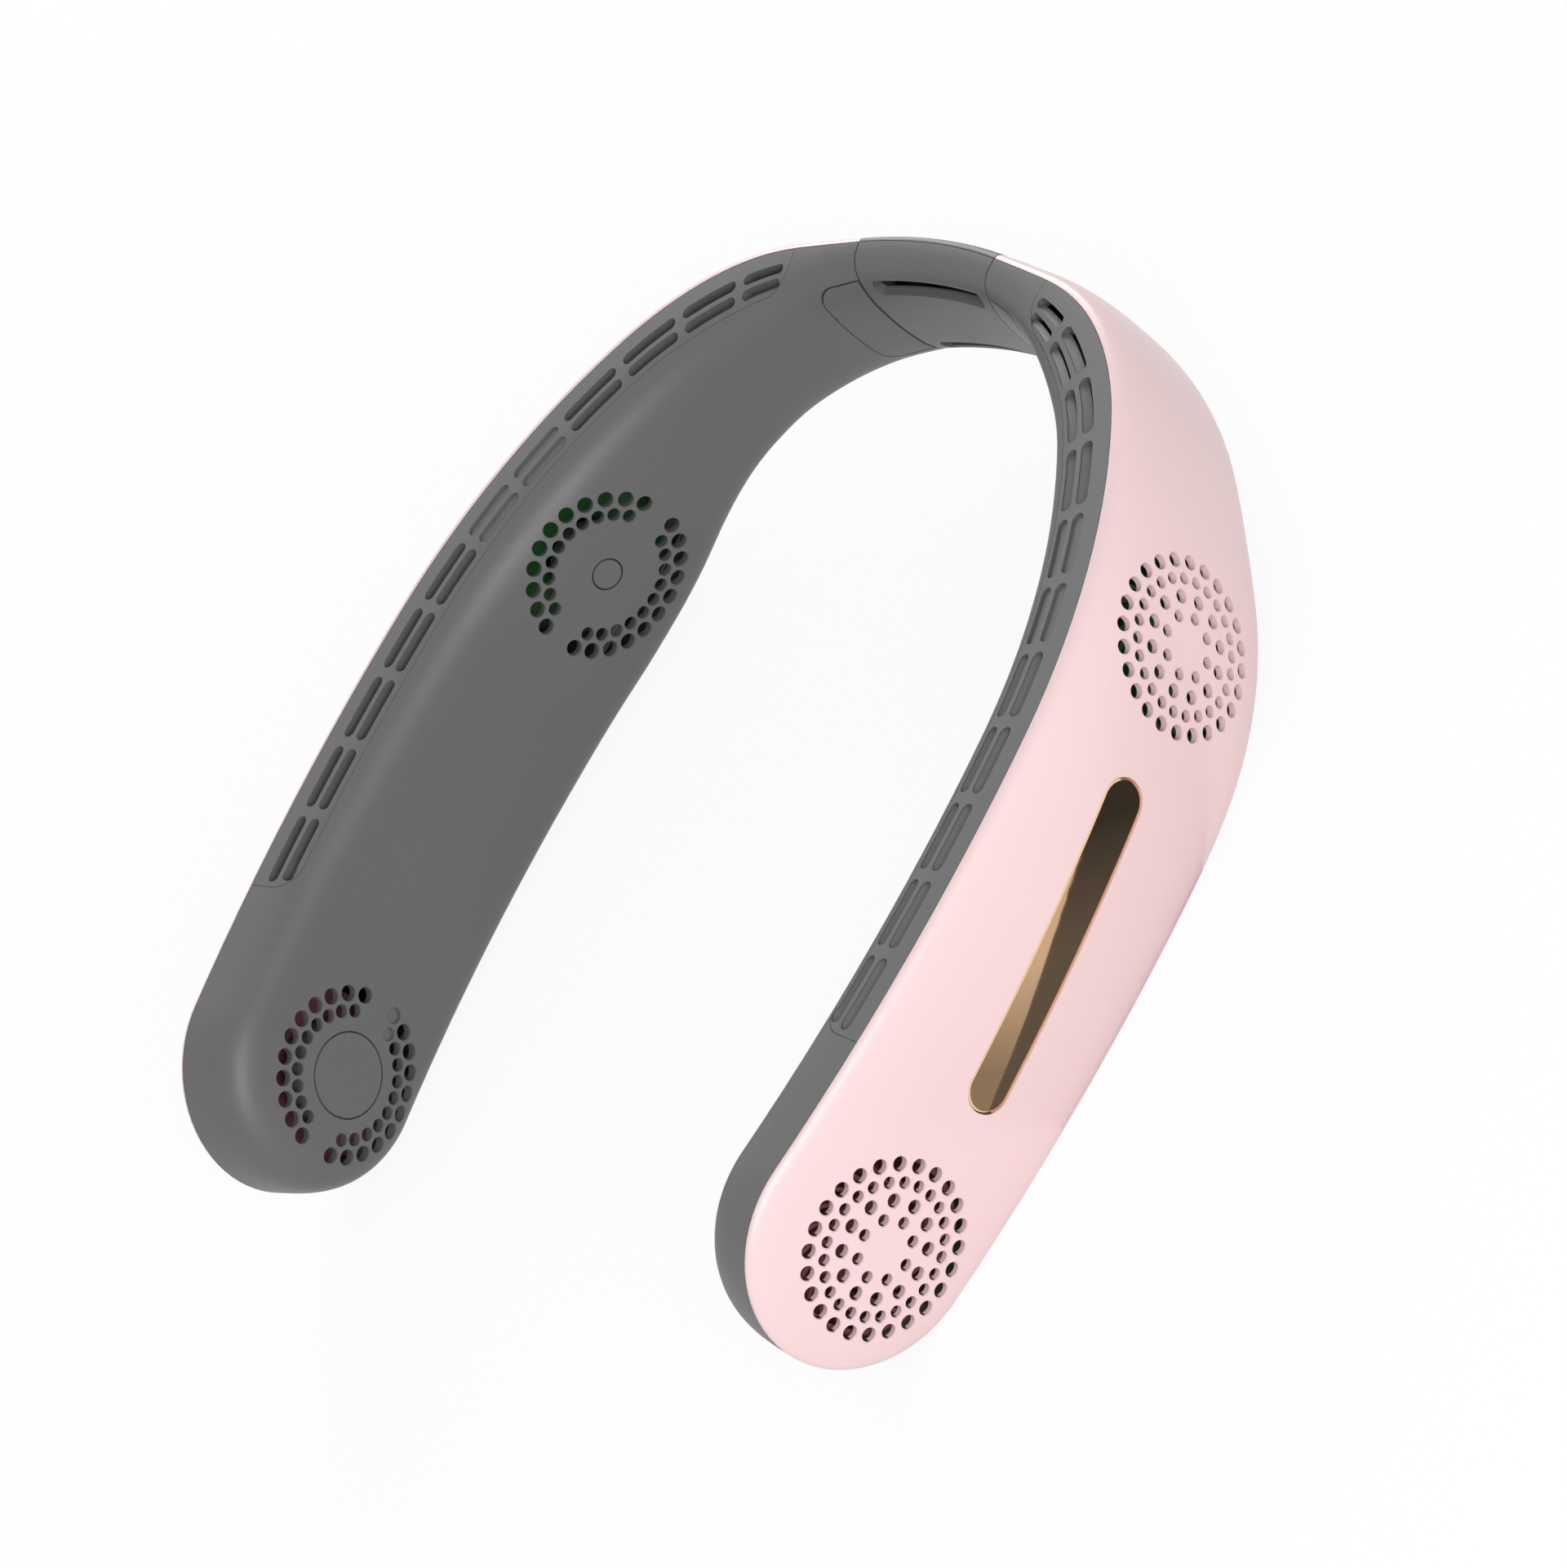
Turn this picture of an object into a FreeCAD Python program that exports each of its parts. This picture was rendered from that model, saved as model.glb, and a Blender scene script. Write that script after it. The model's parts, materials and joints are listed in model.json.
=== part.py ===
import FreeCAD, Part
import math
import os
from FreeCAD import Vector

# Electric neck fan: two hollow arms hinged to a short bridge behind the neck.
# Millimetres, +Z up, standing on the lower rims of the arms, tips towards -Y.

# Plan of the parting line, from the middle of the bridge round to the tip
BRIDGE_RUN = 22.8
BRIDGE_RADIUS = 145.2
HINGE_RUN = 19.9
HINGE_RADIUS = 575.0
CORNER_RUN = 24.7
CORNER_RADIUS = 58.6
BEND_RUN = 24.7
BEND_RADIUS = 71.2
SHOULDER_RUN = 35.2
SHOULDER_RADIUS = 135.0
SIDE_RUN = 42.3
SIDE_RADIUS = 147.7
FRONT_RUN = 97.7
FRONT_RADIUS = 425.7

# Section of the band: heights, depth inward and bulge outward of the parting line
ARM_HEIGHT = 54.6
BRIDGE_HEIGHT = 35.0
ARM_DEPTH = 19.8
BRIDGE_DEPTH = 9.1
TIP_DEPTH = 18.3
ARM_BULGE = 6.8
BRIDGE_BULGE = 3.6
TIP_BULGE = 3.4
ARM_FLAT = 2.0
BRIDGE_FLAT = 0.5
LAND = 0.3
OUTER_ROUND_SHARE = 0.66
BRIDGE_ROUND_SHARE = 0.70
ARM_ROUND_SHARE = 0.90
TIP_ROUND_SHARE = 0.96

# Walls, seams and fits
WALL = 1.8
INSERT_DEPTH = 1.0
INSERT_GAP = 0.12
PARTING_WIDTH = 0.15
PARTING_DEPTH = 0.4
REST_FLAT = 0.05
SEAM_GAP = 0.4
SLIDE_GAP = 0.08
RUN_GAP = 0.04
OVERRUN = 2.0

# Where the arm's section changes, as shares of the run from the seam to the tip
STATION_SHARES = [0.0, 0.025, 0.05, 0.085, 0.12, 0.155, 0.19, 0.23, 0.27, 0.31, 0.35, 0.39,
                  0.43, 0.47, 0.51, 0.54, 0.57, 0.60, 0.63, 0.66, 0.71, 0.77, 0.84, 0.90, 0.95, 1.0]
DEPTH_SHARES = [(0.0, 0.0), (0.046, 0.18), (0.095, 0.50), (0.144, 0.74), (0.193, 0.86),
                (0.275, 0.945), (0.377, 0.99), (0.458, 1.0), (1.0, 1.0)]
DEPTH_TIP_SHARES = [(0.0, 0.0), (0.458, 0.0), (0.602, 0.27), (0.766, 0.67), (0.888, 1.0), (1.0, 1.0)]
BULGE_SHARES = [(0.0, 0.0), (0.095, 0.16), (0.193, 0.41), (0.316, 0.78), (0.458, 1.0), (1.0, 1.0)]
BULGE_TIP_SHARES = [(0.0, 0.0), (0.458, 0.0), (0.582, 0.15), (0.725, 0.53), (0.868, 0.88), (1.0, 1.0)]
HEIGHT_SHARES = [(0.0, 0.0), (0.091, 0.0), (0.164, 0.02), (0.234, 0.133), (0.283, 0.245), (0.32, 0.378),
                 (0.357, 0.541), (0.393, 0.704), (0.43, 0.827), (0.471, 0.918), (0.516, 0.974),
                 (0.569, 0.995), (0.622, 1.0), (1.0, 1.0)]
FLAT_SHARES = [(0.0, 0.0), (0.095, 0.47), (0.193, 1.0), (1.0, 1.0)]

# Fans
REAR_FAN_RUN = 112.0
REAR_FAN_DEPTH = 25.4
FRONT_FAN_DROP = 3.6
INTAKE_RADIUS = 17.6
ROSETTE_HOLE = 3.1
ROSETTE_SECOND_HOLE = 2.5
ROSETTE_THIRD_HOLE = 2.9
ROSETTE_INNER_HOLE = 2.5
SECOND_RING_SHARE = 0.79
THIRD_RING_SHARE = 0.575
INNER_RING_SHARE = 0.36
OUTLET_HOLE = 3.5
OUTLET_SECOND_HOLE = 2.9
HOLE_STEP = 0.16
BLIND_HOLE_DEPTH = 0.7
RING_COUNT = 24
THIRD_COUNT = 12
INNER_COUNT = 8

# Impeller and motor, measured along the fan axis from the motor's seat
IMPELLER_RADIUS = 19.0
IMPELLER_BORE_RADIUS = 11.5
IMPELLER_HEIGHT = 7.0
IMPELLER_PLATE = 1.2
IMPELLER_RIM = 1.2
BLADE_COUNT = 22
BLADE_THICKNESS = 0.8
BLADE_SWEEP = 32.0
HUB_RADIUS = 9.6
HUB_WALL = 1.0
MOTOR_RADIUS = 7.6
MOTOR_HEIGHT = 6.4
MOTOR_TOP_GAP = 0.5
IMPELLER_LIFT = 3.2
SHAFT_RADIUS = 1.0
SHAFT_SOCKET_DEPTH = 4.6
FRONT_MOTOR_SEAT = 11.2
REAR_MOTOR_SEAT = 9.8
PEDESTAL_RADIUS = 9.0

# Power button, front cap and the chamber behind them
BUTTON_RADIUS = 9.5
BUTTON_FLANGE = 0.9
BUTTON_FLANGE_THICKNESS = 0.8
BUTTON_SEAT_DEPTH = 0.9
BUTTON_TRAVEL = 0.8
CHAMBER_WALL = 1.3
CHAMBER_SLACK = 0.5
MOUNT_THICKNESS = 1.0
BOARD_THICKNESS = 0.8
BOARD_MARGIN = 0.6
SWITCH_SIDE = 5.0
SWITCH_HEIGHT = 0.5
PLUNGER_RADIUS = 1.2
PLUNGER_GAP = 0.1
REAR_CAP_RADIUS = 3.7
REAR_CAP_DEPTH = 3.2

# Vent strip in the top rim
STRIP_START_RUN = 19.9
STRIP_END_RUN = 215.0
STRIP_WIDTH = 12.9
STRIP_NARROW_SHARE = 0.72
STRIP_NARROW_RUN = 34.0
STRIP_CORNER = 6.0
SLOT_OUTER_START = 4.4
SLOT_OUTER_END = 7.45
SLOT_INNER_START = 8.75
SLOT_INNER_END = 11.6
SLOT_START_MARGIN = 1.8
SLOT_END_MARGIN = 1.2
SLOT_RIB = 2.4
SLOT_BLIND_DEPTH = 0.6
SLOT_SLIT_SHARE = 0.42
SLOT_LIP = 0.35
SLOT_RAMP_DEPTH = 1.5
COLLAR_DEPTH = 2.6
COLLAR_WALL = 0.7
COLLAR_LEDGE = 0.6
RIB_SHARES = [0.0, 0.0789, 0.1754, 0.2719, 0.3684, 0.4568, 0.5409, 0.6316, 0.7223, 0.8131, 0.9038, 1.0]
BLIND_SEGMENTS = (4, 5)

# Hinges beside the bridge
HINGE_SETBACK = 2.6
HINGE_INSET = 0.6
PIN_RADIUS = 1.2
PIN_LENGTH = 21.0
EYE_RADIUS = 2.3
EYE_HEIGHT = 12.0
EYE_GAP = 0.3
TONGUE_THICKNESS = 3.0
TONGUE_SWING_GAP = 0.7
BOSS_HEIGHT = 4.0
BLOCK_LENGTH = 9.0
BLOCK_HEIGHT = 14.0
BLOCK_OUTER = 0.9
BLOCK_INNER = 5.6
PANEL_LENGTH = 12.2
PANEL_TOP = 4.0
PANEL_BOTTOM = 5.0
PANEL_CORNER = 4.0
SCREW_RADIUS = 0.9
SCREW_HEAD_RADIUS = 1.8
SCREW_HEAD_HEIGHT = 0.8
SCREW_HEAD_SINK = 0.45
SCREW_DEPTH = 2.4
SCREW_SPACING = 7.6

# Slots in the bridge's inner face
BRIDGE_SLOT_LENGTH = 38.5
BRIDGE_SLOT_HEIGHT = 4.2
BRIDGE_SLOT_EDGE = 6.1
BRIDGE_SLOT_SINK = 0.9
BRIDGE_SLOT_STEP = 0.7

# Battery, charging socket and name plate
BATTERY_RUN = 168.0
BATTERY_LENGTH = 50.0
BATTERY_HEIGHT = 34.0
BATTERY_THICKNESS = 9.0
BATTERY_FLOOR = 5.0
BATTERY_SEAT = 13.0
BATTERY_PAD = 6.0
BATTERY_ROUND = 2.0
SOCKET_RUN = 205.0
SOCKET_OFFSET = 6.5
SOCKET_LENGTH = 9.0
SOCKET_WIDTH = 3.2
SOCKET_DEPTH = 7.0
SOCKET_RECESS = 0.4
SOCKET_WALL = 0.35
SOCKET_TONGUE = 0.7
SOCKET_FLANGE = 1.0
SOCKET_FLANGE_THICKNESS = 0.8
SOCKET_SEAT = 0.8
PLATE_RUN = 176.9
PLATE_DEPTH = 27.8
PLATE_LENGTH = 72.0
PLATE_WIDTH = 10.2
PLATE_TILT = 5.8
PLATE_SINK = 0.2

SEAM = BRIDGE_RUN
PATH = [(BRIDGE_RUN, BRIDGE_RADIUS), (HINGE_RUN, HINGE_RADIUS), (CORNER_RUN, CORNER_RADIUS),
        (BEND_RUN, BEND_RADIUS), (SHOULDER_RUN, SHOULDER_RADIUS), (SIDE_RUN, SIDE_RADIUS),
        (FRONT_RUN, FRONT_RADIUS)]
TIP = sum(run for run, radius in PATH)
ARM_START = SEAM + SEAM_GAP / 2
BRIDGE_END = SEAM - SEAM_GAP / 2


def path(s):
    """Point and heading of the parting line at a run s from the bridge's middle."""
    x = y = heading = 0.0
    left = s
    for i, (run, radius) in enumerate(PATH):
        step = left if left < run else run
        turn = step / radius
        x += radius * (math.sin(heading + turn) - math.sin(heading))
        y -= radius * (math.cos(heading) - math.cos(heading + turn))
        heading += turn
        left -= step
        if left <= 0:
            break
    x += left * math.cos(heading)
    y -= left * math.sin(heading)
    return x, y, heading


class Frame:
    """Axes at a station: along the arm, inward, and up from the lower rim."""

    def __init__(self, s):
        x, y, heading = path(s)
        self.base = Vector(x, y, 0)
        self.along = Vector(math.cos(heading), -math.sin(heading), 0)
        self.inward = Vector(-math.sin(heading), -math.cos(heading), 0)

    def at(self, along, off, z):
        return self.base + self.along * along + self.inward * off + Vector(0, 0, z)


def table(rows, u):
    """Monotone curve through the rows of a table of shares."""
    xs = [row[0] for row in rows]
    ys = [row[1] for row in rows]
    u = min(max(u, xs[0]), xs[-1])
    steps = [(ys[i + 1] - ys[i]) / (xs[i + 1] - xs[i]) for i in range(len(xs) - 1)]
    slopes = [steps[0]]
    for a, b in zip(steps, steps[1:]):
        slopes.append(0.0 if a * b <= 0 else 2 * a * b / (a + b))
    slopes.append(steps[-1])
    i = max(k for k in range(len(steps)) if xs[k] <= u)
    h = xs[i + 1] - xs[i]
    t = (u - xs[i]) / h
    return (ys[i] * (1 + 2 * t) * (1 - t) ** 2 + ys[i + 1] * t * t * (3 - 2 * t)
            + h * slopes[i] * t * (1 - t) ** 2 - h * slopes[i + 1] * t * t * (1 - t))


def mix(low, high, share):
    return low + (high - low) * share


class Section:
    """Sizes of the band's section at a station, grown or inset evenly."""

    def __init__(self, s, grow=0.0):
        u = (s - SEAM) / (TIP - SEAM)
        depth = mix(BRIDGE_DEPTH, ARM_DEPTH, table(DEPTH_SHARES, u))
        depth = mix(depth, TIP_DEPTH, table(DEPTH_TIP_SHARES, u))
        bulge = mix(BRIDGE_BULGE, ARM_BULGE, table(BULGE_SHARES, u))
        bulge = mix(bulge, TIP_BULGE, table(BULGE_TIP_SHARES, u))
        round_share = mix(BRIDGE_ROUND_SHARE, ARM_ROUND_SHARE, table(DEPTH_SHARES, u))
        self.inner_round = mix(round_share, TIP_ROUND_SHARE, table(DEPTH_TIP_SHARES, u))
        self.height = mix(BRIDGE_HEIGHT, ARM_HEIGHT + REST_FLAT, table(HEIGHT_SHARES, u))
        self.flat = mix(BRIDGE_FLAT, ARM_FLAT, table(FLAT_SHARES, u))
        self.top = ARM_HEIGHT + grow
        self.half = self.height / 2 + grow
        self.mid = ARM_HEIGHT - self.height / 2
        self.bottom = self.mid - self.half
        self.depth = depth + grow
        self.bulge = bulge + grow

    def quarter(self, side, up):
        """Poles of a quarter of the section, from the middle to a rim, as (off, z)."""
        start = -LAND if side < 0 else self.flat
        reach = side * (self.bulge if side < 0 else self.depth)
        share = OUTER_ROUND_SHARE if side < 0 else self.inner_round
        rise = self.half * up
        return [(reach, self.mid), (reach, self.mid + share * rise),
                (start + share * (reach - start), self.mid + rise), (start, self.mid + rise)]

    def reach_at(self, side, z):
        """Offset of the surface on one side at a height z."""
        poles = self.quarter(side, 1 if z >= self.mid else -1)
        low, high = 0.0, 1.0
        for i in range(40):
            t = (low + high) / 2
            if abs(bezier(poles, t)[1] - self.mid) < abs(z - self.mid):
                low = t
            else:
                high = t
        return bezier(poles, low)[0]


def rim_height(section, off):
    """Height of the inner shell's top surface at an offset."""
    poles = section.quarter(1, 1)
    low, high = 0.0, 1.0
    for i in range(40):
        t = (low + high) / 2
        if bezier(poles, t)[0] > off:
            low = t
        else:
            high = t
    return bezier(poles, low)[1]


def bezier(poles, t):
    weights = [(1 - t) ** 3, 3 * t * (1 - t) ** 2, 3 * t * t * (1 - t), t ** 3]
    return (sum(w * p[0] for w, p in zip(weights, poles)), sum(w * p[1] for w, p in zip(weights, poles)))


def curve(frame, poles):
    spline = Part.BezierCurve()
    spline.setPoles([frame.at(0, off, z) for off, z in poles])
    return spline.toBSpline().toShape()


def outline(frame, items):
    """Closed wire from straight corners and curved quarters given as (off, z) points."""
    edges = []
    for item in items:
        if len(item) == 4:
            edges.append(curve(frame, item))
        else:
            edges.append(Part.makeLine(frame.at(0, *item[0]), frame.at(0, *item[1])))
    return Part.Wire(edges)


def cover_items(s):
    """C-shaped section of the outer cover, with the parting groove."""
    a = Section(s)
    b = Section(s, -WALL)
    g = -PARTING_WIDTH
    d = PARTING_DEPTH
    up, down = a.quarter(-1, 1), a.quarter(-1, -1)
    in_up, in_down = b.quarter(-1, 1), b.quarter(-1, -1)
    return [((g, a.top), up[3]), up[::-1], down, (down[3], (g, a.bottom)),
            ((g, a.bottom), (g, a.bottom + d)), ((g, a.bottom + d), (0, a.bottom + d)),
            ((0, a.bottom + d), (0, b.bottom)), ((0, b.bottom), in_down[3]), in_down[::-1], in_up,
            (in_up[3], (0, b.top)), ((0, b.top), (0, a.top - d)), ((0, a.top - d), (g, a.top - d)),
            ((g, a.top - d), (g, a.top))]


def shell_items(s, outer=0.0, inner=-WALL, edge=0.0):
    """C-shaped section of the inner shell, or of a skin between two insets."""
    a = Section(s, outer)
    b = Section(s, inner)
    up, down = a.quarter(1, 1), a.quarter(1, -1)
    in_up, in_down = b.quarter(1, 1), b.quarter(1, -1)
    return [((edge, a.top), up[3]), up[::-1], down, (down[3], (edge, a.bottom)),
            ((edge, a.bottom), (edge, b.bottom)), ((edge, b.bottom), in_down[3]), in_down[::-1], in_up,
            (in_up[3], (edge, b.top)), ((edge, b.top), (edge, a.top))]


def outer_skin_items(s, outer, inner):
    """C-shaped section of a skin of the outer cover between two insets."""
    a = Section(s, outer)
    b = Section(s, inner)
    up, down = a.quarter(-1, 1), a.quarter(-1, -1)
    in_up, in_down = b.quarter(-1, 1), b.quarter(-1, -1)
    return [(up[3], in_up[3]), in_up[::-1], in_down, (in_down[3], down[3]), down[::-1], up]


def plug_items(s, side, inset=WALL / 2):
    """Filled half section some way inside the surface, for an end wall or a pad."""
    a = Section(s, -inset)
    edge = side * PARTING_WIDTH
    up, down = a.quarter(side, 1), a.quarter(side, -1)
    return [((edge, a.top), up[3]), up[::-1], down, (down[3], (edge, a.bottom)),
            ((edge, a.bottom), (edge, a.top))]


def band(rows, runs):
    """Face through rows of poles: smooth along the arm, one arc or line across."""
    lines = []
    for points in zip(*rows):
        spline = Part.BSplineCurve()
        spline.interpolate(Points=list(points), Parameters=runs)
        lines.append(spline)
    first = lines[0]
    across = len(lines) - 1
    poles = [list(row) for row in zip(*[line.getPoles() for line in lines])]
    surface = Part.BSplineSurface()
    surface.buildFromPolesMultsKnots(poles, first.getMultiplicities(), [across + 1, across + 1],
                                     first.getKnots(), [0.0, 1.0], False, False, first.Degree, across)
    return surface.toShape()


def loft(items_at, stations):
    """Solid with a given section at each station along the arm."""
    frames = [Frame(s) for s in stations]
    sections = [items_at(s) for s in stations]
    runs = [(s - stations[0]) / (stations[-1] - stations[0]) for s in stations]
    faces = [Part.Face(outline(frames[0], sections[0])), Part.Face(outline(frames[-1], sections[-1]))]
    for k in range(len(sections[0])):
        rows = [[frame.at(0, *point) for point in items[k]] for frame, items in zip(frames, sections)]
        faces.append(band(rows, runs))
    skin = Part.makeCompound(faces)
    skin.sewShape()
    body = Part.makeSolid(skin.Shells[0])
    return body if body.Volume > 0 else body.reversed()


def tip_half(items):
    """Upper half of a C-shaped section, closed along the fan's axis."""
    mid = Section(TIP).mid
    upper = [item for item in items if all(point[1] >= mid - LAND / 2 for point in item)]
    return upper


def arm_stations():
    return [ARM_START + share * (TIP - ARM_START) for share in STATION_SHARES]


def tip_turn(items, spans):
    """Half turn of the upper half section about the axis through the tip's centre."""
    frame = Frame(TIP)
    mid = Section(TIP).mid
    edges = []
    for item in tip_half(items):
        if len(item) == 4:
            edges.append(curve(frame, item))
        else:
            edges.append(Part.makeLine(frame.at(0, *item[0]), frame.at(0, *item[1])))
    for start, end in spans:
        edges.append(Part.makeLine(frame.at(0, start, mid), frame.at(0, end, mid)))
    wire = Part.Wire(Part.__sortEdges__(edges))
    face = Part.Face(wire)
    return face.revolve(frame.at(0, 0, mid), frame.inward * -1, 180)


def solid(shape):
    """The single solid of a shape."""
    return shape.Solids[0] if len(shape.Solids) == 1 else shape


def cylinder(frame, along, z, start, end, radius):
    """Cylinder along the inward axis between two offsets."""
    return Part.makeCylinder(radius, end - start, frame.at(along, start, z), frame.inward)


def block(frame, along, off, z):
    """Box between pairs of limits along the arm, inward and up."""
    corners = [frame.at(along[0], off[0], z[0]), frame.at(along[1], off[0], z[0]),
               frame.at(along[1], off[1], z[0]), frame.at(along[0], off[1], z[0])]
    wire = Part.makePolygon(corners + corners[:1])
    return Part.Face(wire).extrude(Vector(0, 0, z[1] - z[0]))


def plan(s, off):
    return Frame(s).at(0, off, 0)


def side_curve(points):
    spline = Part.BSplineCurve()
    spline.interpolate(points)
    return spline.toShape()


def arc(a, b, c):
    return Part.Arc(a, b, c).toShape()


def prism(edges, low, high):
    wire = Part.Wire(Part.__sortEdges__(edges))
    face = Part.Face(wire)
    face.translate(Vector(0, 0, low))
    return face.extrude(Vector(0, 0, high - low))


def spread(start, end, count):
    return [start + (end - start) * i / (count - 1) for i in range(count)]


def strip_scale(run):
    """The strip narrows with the rim towards the bridge."""
    if run >= STRIP_NARROW_RUN + STRIP_START_RUN:
        return 1.0
    t = max(run - STRIP_START_RUN, 0.0) / STRIP_NARROW_RUN
    return mix(STRIP_NARROW_SHARE, 1.0, t * (2 - t))


def strip_prism(gap):
    """Plan of the vent strip, reaching past the parting line, as a tall prism."""
    start = SEAM + STRIP_START_RUN - gap
    end = SEAM + STRIP_END_RUN + gap
    corner = STRIP_CORNER
    diagonal = corner * (1 - math.sqrt(0.5))

    def edge(s, back):
        return plan(s, STRIP_WIDTH * strip_scale(s - SEAM) + gap - back)

    inner = [edge(s, 0) for s in spread(start + corner, end - corner, 24)]
    outer = [plan(s, -OVERRUN) for s in spread(start, end, 24)]
    low_in = edge(start, corner)
    high_in = edge(end, corner)
    edges = [side_curve(inner), side_curve(outer), Part.makeLine(outer[0], low_in),
             Part.makeLine(outer[-1], high_in),
             arc(low_in, edge(start + diagonal, diagonal), inner[0]),
             arc(inner[-1], edge(end - diagonal, diagonal), high_in)]
    return prism(edges, ARM_HEIGHT / 2, ARM_HEIGHT + OVERRUN)


def slot_prism(start, end, low_off, high_off, low, high, cut_start=0.0, cut_end=0.0):
    """Rounded slot along the rim; a cut draws back its inner side at an end."""
    def point(s, off):
        return plan(s, off * strip_scale(s - SEAM))

    half = (high_off - low_off) / 2
    mid_off = (high_off + low_off) / 2
    inner = [point(s, high_off) for s in spread(start + half + cut_start, end - half - cut_end, 5)]
    outer = [point(s, low_off) for s in spread(start + half, end - half, 5)]
    edges = [side_curve(inner), side_curve(outer),
             arc(outer[0], point(start + cut_start / 4, mid_off), inner[0]),
             arc(inner[-1], point(end - cut_end / 4, mid_off), outer[-1])]
    return prism(edges, low, high)


def window_prism(start, end, low_off, high_off, low, high):
    def point(s, off):
        return plan(s, off * strip_scale(s - SEAM))

    inner = [point(s, high_off) for s in spread(start, end, 16)]
    outer = [point(s, low_off) for s in spread(start, end, 16)]
    edges = [side_curve(inner), side_curve(outer), Part.makeLine(outer[0], inner[0]),
             Part.makeLine(outer[-1], inner[-1])]
    return prism(edges, low, high)


def hole_tool(radius, length, step):
    """Round cutter along +Z from the surface at zero, with a small step at its mouth."""
    above = OVERRUN / 2
    bore = Part.makeCylinder(radius, above + length, Vector(0, 0, -above))
    mouth = Part.makeCylinder(radius + step, above + step, Vector(0, 0, -above))
    return bore.fuse(mouth)


class Fan:
    """A fan's axis, its rings of holes and the places of its pieces."""

    def __init__(self, s, z, seat):
        self.s = s
        self.z = z
        self.seat = seat
        self.frame = Frame(s)

    def surface(self, side, along, rise):
        """Offset, in the fan's own axes, of the arm's surface near the fan."""
        z = self.z + rise
        beyond = self.s + along - TIP
        if beyond > 0:
            tip = Section(TIP)
            radius = math.hypot(beyond, z - tip.mid)
            return tip.reach_at(side, tip.mid + min(radius, tip.half))
        s = self.s + along
        for i in range(8):
            place = Frame(s).at(0, Section(s).reach_at(side, z), 0) - self.frame.base
            s += along - place.dot(self.frame.along)
        return place.dot(self.frame.inward)

    def ring(self, side, radius, hole, angles, length):
        """Cutters for one ring of holes, square to one side of the arm."""
        tool = hole_tool(hole / 2, length, HOLE_STEP)
        step = hole / 4
        out = []
        for angle in angles:
            along = -radius * math.cos(math.radians(angle))
            rise = radius * math.sin(math.radians(angle))
            off = self.surface(side, along, rise)
            slope = self.surface(side, along + step, rise) - self.surface(side, along - step, rise)
            lean = self.surface(side, along, rise + step) - self.surface(side, along, rise - step)
            normal = self.frame.inward - self.frame.along * (slope / step / 2)
            normal = normal - Vector(0, 0, lean / step / 2)
            cutter = tool.copy()
            cutter.Placement = FreeCAD.Placement(self.frame.at(along, off, self.z + rise),
                                                 FreeCAD.Rotation(Vector(0, 0, 1), normal * -side))
            out.append(cutter)
        return out

    def rod(self, start, end, radius):
        return cylinder(self.frame, 0, self.z, start, end, radius)


def even(count, first=0.0):
    return [first + 360.0 * i / count for i in range(count)]


def rosette(fan):
    depth = WALL + OVERRUN
    half_step = 360.0 / RING_COUNT / 2
    tools = fan.ring(-1, INTAKE_RADIUS, ROSETTE_HOLE, even(RING_COUNT), depth)
    tools += fan.ring(-1, INTAKE_RADIUS * SECOND_RING_SHARE, ROSETTE_SECOND_HOLE,
                      even(RING_COUNT, half_step), depth)
    tools += fan.ring(-1, INTAKE_RADIUS * THIRD_RING_SHARE, ROSETTE_THIRD_HOLE, even(THIRD_COUNT), depth)
    tools += fan.ring(-1, INTAKE_RADIUS * INNER_RING_SHARE, ROSETTE_INNER_HOLE, even(INNER_COUNT), depth)
    return tools


def outlet_rings(fan, blind):
    """Two rings on the inner face, open along the arm; two holes may be blind."""
    depth = WALL + OVERRUN
    step = 360.0 / RING_COUNT
    outer = [a for a in even(RING_COUNT) if a not in (0.0, 180.0)]
    second = [a for a in even(RING_COUNT, step / 2) if step < a % 180.0 < 180.0 - step]
    stopped_outer = [360.0 - step] if blind else []
    stopped_second = [360.0 - 1.5 * step] if blind else []
    ring_two = INTAKE_RADIUS * SECOND_RING_SHARE
    tools = fan.ring(1, INTAKE_RADIUS, OUTLET_HOLE, [a for a in outer if a not in stopped_outer], depth)
    tools += fan.ring(1, ring_two, OUTLET_SECOND_HOLE, [a for a in second if a not in stopped_second], depth)
    tools += fan.ring(1, INTAKE_RADIUS, OUTLET_HOLE, stopped_outer, BLIND_HOLE_DEPTH)
    tools += fan.ring(1, ring_two, OUTLET_SECOND_HOLE, stopped_second, BLIND_HOLE_DEPTH)
    return tools


TIP_MID = Section(TIP).mid
REAR = Fan(SEAM + REAR_FAN_RUN, ARM_HEIGHT - REAR_FAN_DEPTH, REAR_MOTOR_SEAT)
FRONT = Fan(TIP, TIP_MID - FRONT_FAN_DROP, FRONT_MOTOR_SEAT)
REAR_SECTION = Section(REAR.s)
FRONT_SECTION = Section(TIP)

# Hinge places
HINGE_FRAME = Frame(SEAM - HINGE_SETBACK)
SEAM_FRAME = Frame(SEAM)
HINGE_MID = Section(SEAM).mid
HINGE_POINT = HINGE_FRAME.at(0, HINGE_INSET, 0)
HINGE_ALONG = (HINGE_POINT - SEAM_FRAME.base).dot(SEAM_FRAME.along)
HINGE_OFF = (HINGE_POINT - SEAM_FRAME.base).dot(SEAM_FRAME.inward)
SCREW_ALONG = SEAM_GAP / 2 + WALL + BLOCK_LENGTH / 2


def upright(radius, low, high):
    return Part.makeCylinder(radius, high - low, HINGE_POINT + Vector(0, 0, low))


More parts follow.
